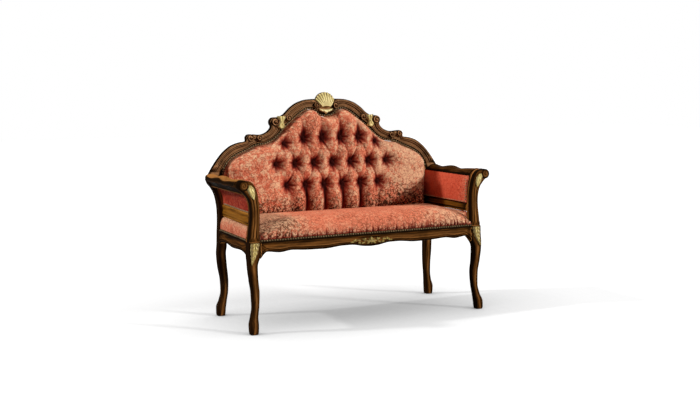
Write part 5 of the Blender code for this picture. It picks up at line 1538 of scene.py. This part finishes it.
def make_arm_pads():
    foot = STRETCHER_TOP + FIT
    rail_low = ARM_TOP - ARM_DEEP - FIT
    mid = (foot + rail_low) / 2
    rows = []
    middles = []
    for k in range(ARM_PAD_RINGS + 1):
        share = k / ARM_PAD_RINGS
        full = float(min(rounded(share, 0.12), rounded(1 - share, 0.3)))
        inner, outer = stretcher_faces(share)
        shift = ARM_SHIFT * share
        crown = ARM_PAD_SWELL * (0.25 + 0.75 * full)
        arm_low = LEG_X + ARM_SECTION[0][0] - shift - FIT
        arm_high = LEG_X + ARM_SECTION[1][0] - shift - FIT
        arm_out = LEG_X + ARM_SECTION[-1][0] - shift
        section = (
            (inner - FIT, foot), (outer - 0.004, foot), (outer - 0.001, mid),
            (outer + (arm_out - outer) * 0.45, rail_low), (arm_low, rail_low), (arm_low, rail_low + 2 * FIT),
            (arm_high, ARM_TOP - ARM_SECTION[1][1]), (arm_high - 0.006, rail_low + 0.034),
            (arm_low - 0.8 * crown, rail_low + 0.012), (inner - crown, mid + 0.018),
            (inner - crown, mid - 0.014), (inner - 0.75 * crown, foot),
            (inner - 0.004, foot - 0.013), (inner - FIT, foot - 0.012),
        )
        row = []
        for (ax, az), (bx, bz) in zip(section, section[1:] + section[:1]):
            for j in range(ARM_PAD_STEPS):
                z = az + (bz - az) * j / ARM_PAD_STEPS
                y = arm_station(share, ARM_TOP - z) - (PAD_EDGE + FIT) * share
                row.append((ax + (bx - ax) * j / ARM_PAD_STEPS, y, z))
        rows.append(row)
        middles += [(inner + outer) / 2] * len(row)
    pad = Shape(rows)
    for side, sign in SIDES:
        shape = pad.flipped(sign)
        name = f"arm_pad_damask_{side}"
        made = piece(name, shape.points, shape.faces, DAMASK_ARM, [f"arm_pad_{side}"], 70.0)
        x, y, z = np.array(shape.points).T
        outside = past(np.abs(x), middles, 0.01)
        ahead = np.clip(1.0 - (y - y.min() - 0.02) / 0.06, 0.0, 1.0) * (1 - outside)
        # the pad's outer face gets painted shade, as under the arm's overhang
        mark(made, cloth=np.stack([y, z + np.abs(x), 0.0 * x], axis=1), fold=0.38 * outside)
        mark(made, shade=0.80 * outside, calm=1.2 * (1 - outside) * (1 - ahead), bloom=1.6 * ahead)
        free = past(np.minimum(z - foot, rail_low - z), 0.0, 0.014)
        free *= past(np.minimum(y - y.min() - 0.01, y.max() - 0.02 - y), 0.0, 0.03)
        free *= past(LEG_X - 0.030, np.abs(x), 0.004)
        plump(made, free, ARM_PAD_MOVE)


# Nail head: share of the radius, lift as a share of the radius
NAIL_DOME = ((1.0, -0.3), (1.0, 0.12), (0.8, 0.5), (0.42, 0.76), (0.08, 0.84))


def nail_row(shape, path, out):
    """Add domed nails at an even pitch along a path, facing out."""
    out = Vector(out).normalized()
    across = out.orthogonal().normalized()
    around = spokes(across, across.cross(out), 10)
    lengths = [0.0]
    for near, far in zip(path, path[1:]):
        lengths.append(lengths[-1] + math.dist(near, far))
    count = max(int(lengths[-1] / NAIL_PITCH), 2)
    k = 0
    for n in range(count):
        at = lengths[-1] * (n + 0.5) / count
        while lengths[k + 1] < at:
            k += 1
        place = Vector(path[k]).lerp(Vector(path[k + 1]), (at - lengths[k]) / (lengths[k + 1] - lengths[k]))
        rows = []
        for size, lift in NAIL_DOME:
            rows.append([place + arm * NAIL_RADIUS * size + out * NAIL_RADIUS * lift for _, arm in around])
        shape.grid(rows)


def shape_piece(name, shape, finish, *replaced):
    return piece(name, shape.points, shape.faces, finish, replaced)


def back_border(margin, rise):
    """Points along the crest's flange, from the left arm over the top to the right arm."""
    stops = [rib_ends(SHOULDER_RIBS, k) for k in range(last_step(SHOULDER_RIBS) - RIB_STEPS, 0, -1)]
    stops += [rib_ends(CREST_RIBS, k) for k in range(last_step(CREST_RIBS), -1, -1)]
    half = []
    for (ix, iz), (ox, oz) in stops:
        t = margin / math.hypot(ox - ix, oz - iz)
        half.append(on_back(ix + (ox - ix) * t, iz + (oz - iz) * t, rise))
    return [(-x, y, z) for x, y, z in half] + half[-2::-1]


GIMP_STEP = 0.0016       # length of braid from one section to the next, three to a twist
GIMP_MIDDLE = (0.0024, 0.005)  # stand and height of the seat gimp's ridge


def add_seat_gimp(braid, nails, path, out, line):
    """Add a flat twisted gimp along a path on the rails, facing out, and nails along a line on its ridge."""
    rows = []
    for n, (x, y) in enumerate(path):
        twist = 0.0004 * math.cos(2 * math.pi * n / 3)
        rows.append([(x + out[0] * proud, y + out[1] * proud, RAIL_TOP + FIT + up) for proud, up in (
            (0.0, 0.0), (0.0018 - twist, 0.0008), (GIMP_MIDDLE[0] + twist, GIMP_MIDDLE[1]),
            (0.0018 - twist, 0.0092), (0.0, 0.010),
        )])
    braid.grid(rows)
    stand, up = GIMP_MIDDLE
    nail_row(nails, [(x + out[0] * stand, y + out[1] * stand, RAIL_TOP + FIT + up) for x, y in line], out)


def make_trim():
    path = back_border(0.0057, 0.0024)
    count = int(sum(math.dist(p, q) for p, q in zip(path, path[1:])) / GIMP_STEP)
    fine = [resample(line, count) for line in (back_border(0.0024, FIT), path, back_border(0.0090, FIT))]
    rows = []
    for n, line in enumerate(zip(*fine)):
        a, m, b = (Vector(point) for point in line)
        twist = 0.0007 * math.cos(2 * math.pi * n / 3)
        lift = BACK_OUT * 0.0022 * 0.85
        tilt = 200 * twist
        rows.append([b, b + lift * (0.8 + tilt), m + BACK_OUT * twist, a + lift * (0.8 - tilt), a])
    shape_piece("back_gimp_braid", Shape(rows), BRAID, "back_gimp")
    nails = Shape()
    nail_row(nails, path, BACK_OUT)
    shape_piece("back_nails", nails, NAIL)

    braid = Shape()
    nails = Shape()
    half, first = seat_notch()
    y = SUPPORT_FRONT + 0.001 - FIT
    count = int(2 * half / GIMP_STEP)
    path = [(-half + 2 * half * n / count, y) for n in range(count + 1)]
    add_seat_gimp(braid, nails, path, AHEAD, [(-half + 0.002, y), (half - 0.002, y)])
    first += 0.001
    last = REAR_Y - 0.002
    count = int((last - first) / GIMP_STEP)
    for _, sign in SIDES:
        depths = [first + (last - first) * n / count for n in range(count + 1)]
        path = [(sign * (side_rail_faces(y)[0] - 0.003 + FIT), y) for y in depths]
        add_seat_gimp(braid, nails, path, (sign, 0, 0), path)
    shape_piece("seat_gimp_braid", braid, BRAID, "seat_gimp")
    shape_piece("seat_nails", nails, NAIL_DARK)


def make_arm_nails():
    shares = [0.02 + 0.94 * k / 20 for k in range(21)]
    for side, sign in SIDES:
        nails = Shape()

        def point(share, across, z):
            return (sign * across, arm_station(share, ARM_TOP - z) - (PAD_EDGE + FIT) * share, z)

        arm_in = LEG_X + ARM_SECTION[1][0] - 0.0035
        top = [point(t, arm_in - ARM_SHIFT * t, ARM_TOP - 0.043) for t in shares]
        low = [point(t, stretcher_faces(t)[0] - 0.0042, STRETCHER_TOP - 0.009) for t in shares]
        across = stretcher_faces(0.02)[0] - 0.0075
        ahead = [point(0.018, across, STRETCHER_TOP - 0.004), point(0.018, across + 0.004, ARM_TOP - 0.047)]
        foot = [point(t, stretcher_faces(t)[1] - 0.0028, STRETCHER_TOP + 0.005) for t in shares]
        for line, out in ((top, -sign), (low, -sign), (ahead, -sign), (foot, sign)):
            nail_row(nails, line, (out, 0, 0))
        shape_piece(f"arm_nails_{side}", nails, NAIL)


def thin_sheet(name, columns, lines, at, out, thick, finish, replaced):
    """A sheet of cloth with two faces, where at(u, v) gives its place and out its front."""
    points = []
    for behind in (0.0, thick):
        for k in range(lines + 1):
            for j in range(columns + 1):
                points.append(Vector(at(2 * j / columns - 1, k / lines)) - Vector(out).normalized() * behind)
    layer = len(points) // 2
    faces = grid_faces(lines + 1, columns + 1) + grid_faces(lines + 1, columns + 1, layer)
    rim = grid_rim(lines + 1, columns + 1)
    faces += [(a, b, b + layer, a + layer) for a, b in zip(rim[-1:] + rim, rim)]
    return piece(name, points, faces, finish, [replaced])


COVER_THICK = 0.002
COVER_SINK = 0.002       # outside back cover, in from the back of the crest
COVER_EDGE = 0.007       # nails, in from the edge of the outside back
DUST_SAG = 0.004


def make_covers():
    low = RAIL_TOP + FIT

    def outside(u, v):
        z = low + (pad_top(u) - low) * v
        swell = 0.0012 * noise.noise((u * 5, v * 4, 8.0)) * (1 - u * u) * v * (1 - v) * 4
        return u * pad_half(z), back_y(z) + CREST_THICK - COVER_SINK + swell, z

    made = thin_sheet(
        "outside_back_damask", 120, 50, outside, -BACK_OUT, COVER_THICK, DAMASK_PLAIN, "outside_back_cover",
    )
    points = points_of(made)
    mark(made, cloth=points[:, [0, 2, 2]] * (1, 1, 0), fold=np.zeros(len(points)))
    border = []
    for x, y, z in (outside(u, 1.0) for u in np.linspace(-0.985, 0.985, 160)):
        border.append((x, y + FIT, z - COVER_EDGE * math.hypot(1.0, top_slope(x / BACK_HALF))))
    ends = [outside(1.0, v) for v in np.linspace(0.99, 0.02, 40)]
    ends = [(x - COVER_EDGE, y + FIT, z) for x, y, z in ends if z < border[-1][2] - NAIL_PITCH]
    foot = [outside(u, 0.0) for u in np.linspace(0.96, -0.96, 60)]
    foot = [(x, y + FIT, z + COVER_EDGE) for x, y, z in foot]
    nails = Shape()
    for line in (border, ends, [(-x, y, z) for x, y, z in ends], foot):
        nail_row(nails, line, -BACK_OUT)
    shape_piece("outside_back_nails", nails, NAIL_DARK)

    dust_low, dust_high = (corner[2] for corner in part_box("dust_cover"))
    front = FRONT_Y + RAIL_THICK + FIT
    back = REAR_RAIL_Y - FIT
    front_half = LEG_X - BLOCK_IN - FIT
    rear_half = REAR_X - POST_IN - FIT

    def under(u, v):
        half = front_half + (rear_half - front_half) * v
        sag = DUST_SAG * (1 - u ** 4) * 4 * v * (1 - v) * (1 + 0.3 * noise.noise((u * 4, v * 3, 2.0)))
        return u * half, front + (back - front) * v, dust_low - sag

    thick = dust_high - dust_low
    made = thin_sheet("dust_cover_cambric", 80, 36, under, (0, 0, -1), thick, CAMBRIC, "dust_cover")


SEAT_STRAP = 0.052
BACK_STRAP = 0.045
WEB_DROP = 0.007
STRAP_THICK = 0.0009
STRAP_STEPS = 80
UPRIGHT_STRAPS = 9
LEVEL_STRAPS = 4
STRAP_SECTION = ((-1, 0), (0, 0), (1, 0), (1, 1), (0, 1), (-1, 1))  # half widths across, thicknesses up


def strap_middles(first, last, count, width):
    return [first + width / 2 + (last - first - width) * k / (count - 1) for k in range(count)]


def weave_straps(shape, runs, crossings, width, at, odd):
    """Add straps that pass over and under the straps that cross them."""
    first = crossings[0] - width / 2
    last = crossings[-1] + width / 2
    pitch = crossings[1] - crossings[0]
    for n, run in enumerate(runs):
        rows = []
        for k in range(STRAP_STEPS + 1):
            along = first + (last - first) * k / STRAP_STEPS
            wave = math.cos(math.pi * ((along - crossings[0]) / pitch + n + odd))
            lift = (WEB_THICK - STRAP_THICK) * (0.5 + 0.5 * wave)
            rows.append([at(run + a * width / 2, along, lift + up * STRAP_THICK) for a, up in STRAP_SECTION])
        shape.grid(rows)


def make_web(name, upright, level, width, at):
    """A panel of upright and level straps, woven."""
    web = Shape()
    weave_straps(web, upright, level, width, at, 0)
    weave_straps(web, level, upright, width, lambda row, x, lift: at(x, row, lift), 1)
    shape_piece(f"{name}_webbing_jute", web, JUTE, f"{name}_webbing")


def make_webbing():
    low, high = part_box("seat_webbing")
    level = strap_middles(
        FRONT_Y + RAIL_THICK - REBATE + FIT, REAR_RAIL_Y + REBATE - FIT, LEVEL_STRAPS, SEAT_STRAP,
    )

    def on_seat(x, y, lift):
        return x, y, low[2] + lift

    make_web("seat", strap_middles(low[0], high[0], UPRIGHT_STRAPS, SEAT_STRAP), level, SEAT_STRAP, on_seat)

    def on_frame(x, row, lift):
        z = PAD_FOOT + FIT + (pad_top(x / BACK_HALF) - WEB_DROP - PAD_FOOT) * min(max(row, 0.0), 1.0)
        return x, back_y(z) + PAD_SEAT + FIT + lift, z

    low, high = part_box("back_webbing")
    level = strap_middles(0.0, 1.0, LEVEL_STRAPS, BACK_STRAP / (CREST_TOP - PAD_FOOT))
    make_web("back", strap_middles(low[0], high[0], UPRIGHT_STRAPS, BACK_STRAP), level, BACK_STRAP, on_frame)


def finish_hidden_wood():
    """Beech for the plain pieces that keep their own shape."""
    blocks = [f"corner_block_{end}_{side}" for end in ("front", "rear") for side, _ in SIDES]
    for name in ["lower_back_rail"] + blocks:
        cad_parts[name].material_slots[0].material = BEECH.material


make_legs()
make_rails()
make_arm_supports()
make_arms()
make_crest()
make_shell()
make_leaves()
make_back_pad()
make_buttons()
make_seat_pad()
make_arm_pads()
make_trim()
make_arm_nails()
make_covers()
make_webbing()
finish_hidden_wood()

# Stage, light and camera
FLOOR_HALF = 14.0
FLOOR_PALE = (0.42, 0.42, 0.42)  # what the camera sees, away from the object's shadow
FLOOR_LIGHT = (0.38, 0.38, 0.38)  # what lights the object from below
FLOOR_GLOW = 0.72
ROOM_LIGHT = 0.035


def make_stage():
    corners = [(FLOOR_HALF * x, FLOOR_HALF * y, 0) for x, y in ((-1, -1), (1, -1), (1, 1), (-1, 1))]
    mesh = bpy.data.meshes.new("floor")
    mesh.from_pydata(corners, [], [(0, 1, 2, 3)])
    floor = bpy.data.objects.new("floor", mesh)
    floor.location.z = -0.0005
    bpy.context.collection.objects.link(floor)
    made = Finish("floor_white")
    seen = made.seen()
    # near the object, ambient occlusion dims what the camera sees of the floor: a painted contact shadow
    open_sky = made.node("AmbientOcclusion", {"Distance": 0.8}, samples=12).outputs["AO"]
    pale = made.mix(open_sky, (0.0, 0.0, 0.0), FLOOR_PALE)
    made.surface(Base_Color=made.mix(seen, FLOOR_LIGHT, pale), Roughness=0.9)
    made.surface(Specular_IOR_Level=0.0, Emission_Color=(1.0, 1.0, 1.0, 1.0))
    made.surface(Emission_Strength=made.times(made.times(seen, open_sky), FLOOR_GLOW))
    mesh.materials.append(made.material)


def make_world():
    world = bpy.data.worlds.new("studio")
    bpy.context.scene.world = world
    world.use_nodes = True
    made = Nodes(world.node_tree)
    background = made.tree.nodes["Background"].inputs
    made.feed(background["Color"], (1.0, 1.0, 1.0, 1.0))
    made.feed(background["Strength"], made.span(made.seen(), 0.0, 1.0, ROOM_LIGHT, 1.0))


def add_sun(name, travel, strength, softness):
    light = bpy.data.lights.new(name, "SUN")
    light.energy = strength
    light.angle = math.radians(softness)
    lamp = bpy.data.objects.new(name, light)
    lamp.rotation_euler = Vector(travel).to_track_quat("-Z", "Y").to_euler()
    bpy.context.collection.objects.link(lamp)


make_stage()
make_world()
add_sun("key", (-0.95, 1.0, -0.56), 3.0, 6)
add_sun("left", (1.0, -0.32, -0.78), 2.4, 4)
add_sun("top", (-0.05, 0.12, -1.0), 0.74, 50)

scene = bpy.context.scene
scene.view_settings.view_transform = "Standard"
view = bpy.data.cameras.new("view")
view.lens = CAMERA_LENS
view.sensor_width = 36.0
camera = bpy.data.objects.new("view", view)
camera.location = CAMERA_PLACE
camera.rotation_euler = (CAMERA_TILT, 0.0, CAMERA_TURN)
bpy.context.collection.objects.link(camera)
scene.camera = camera
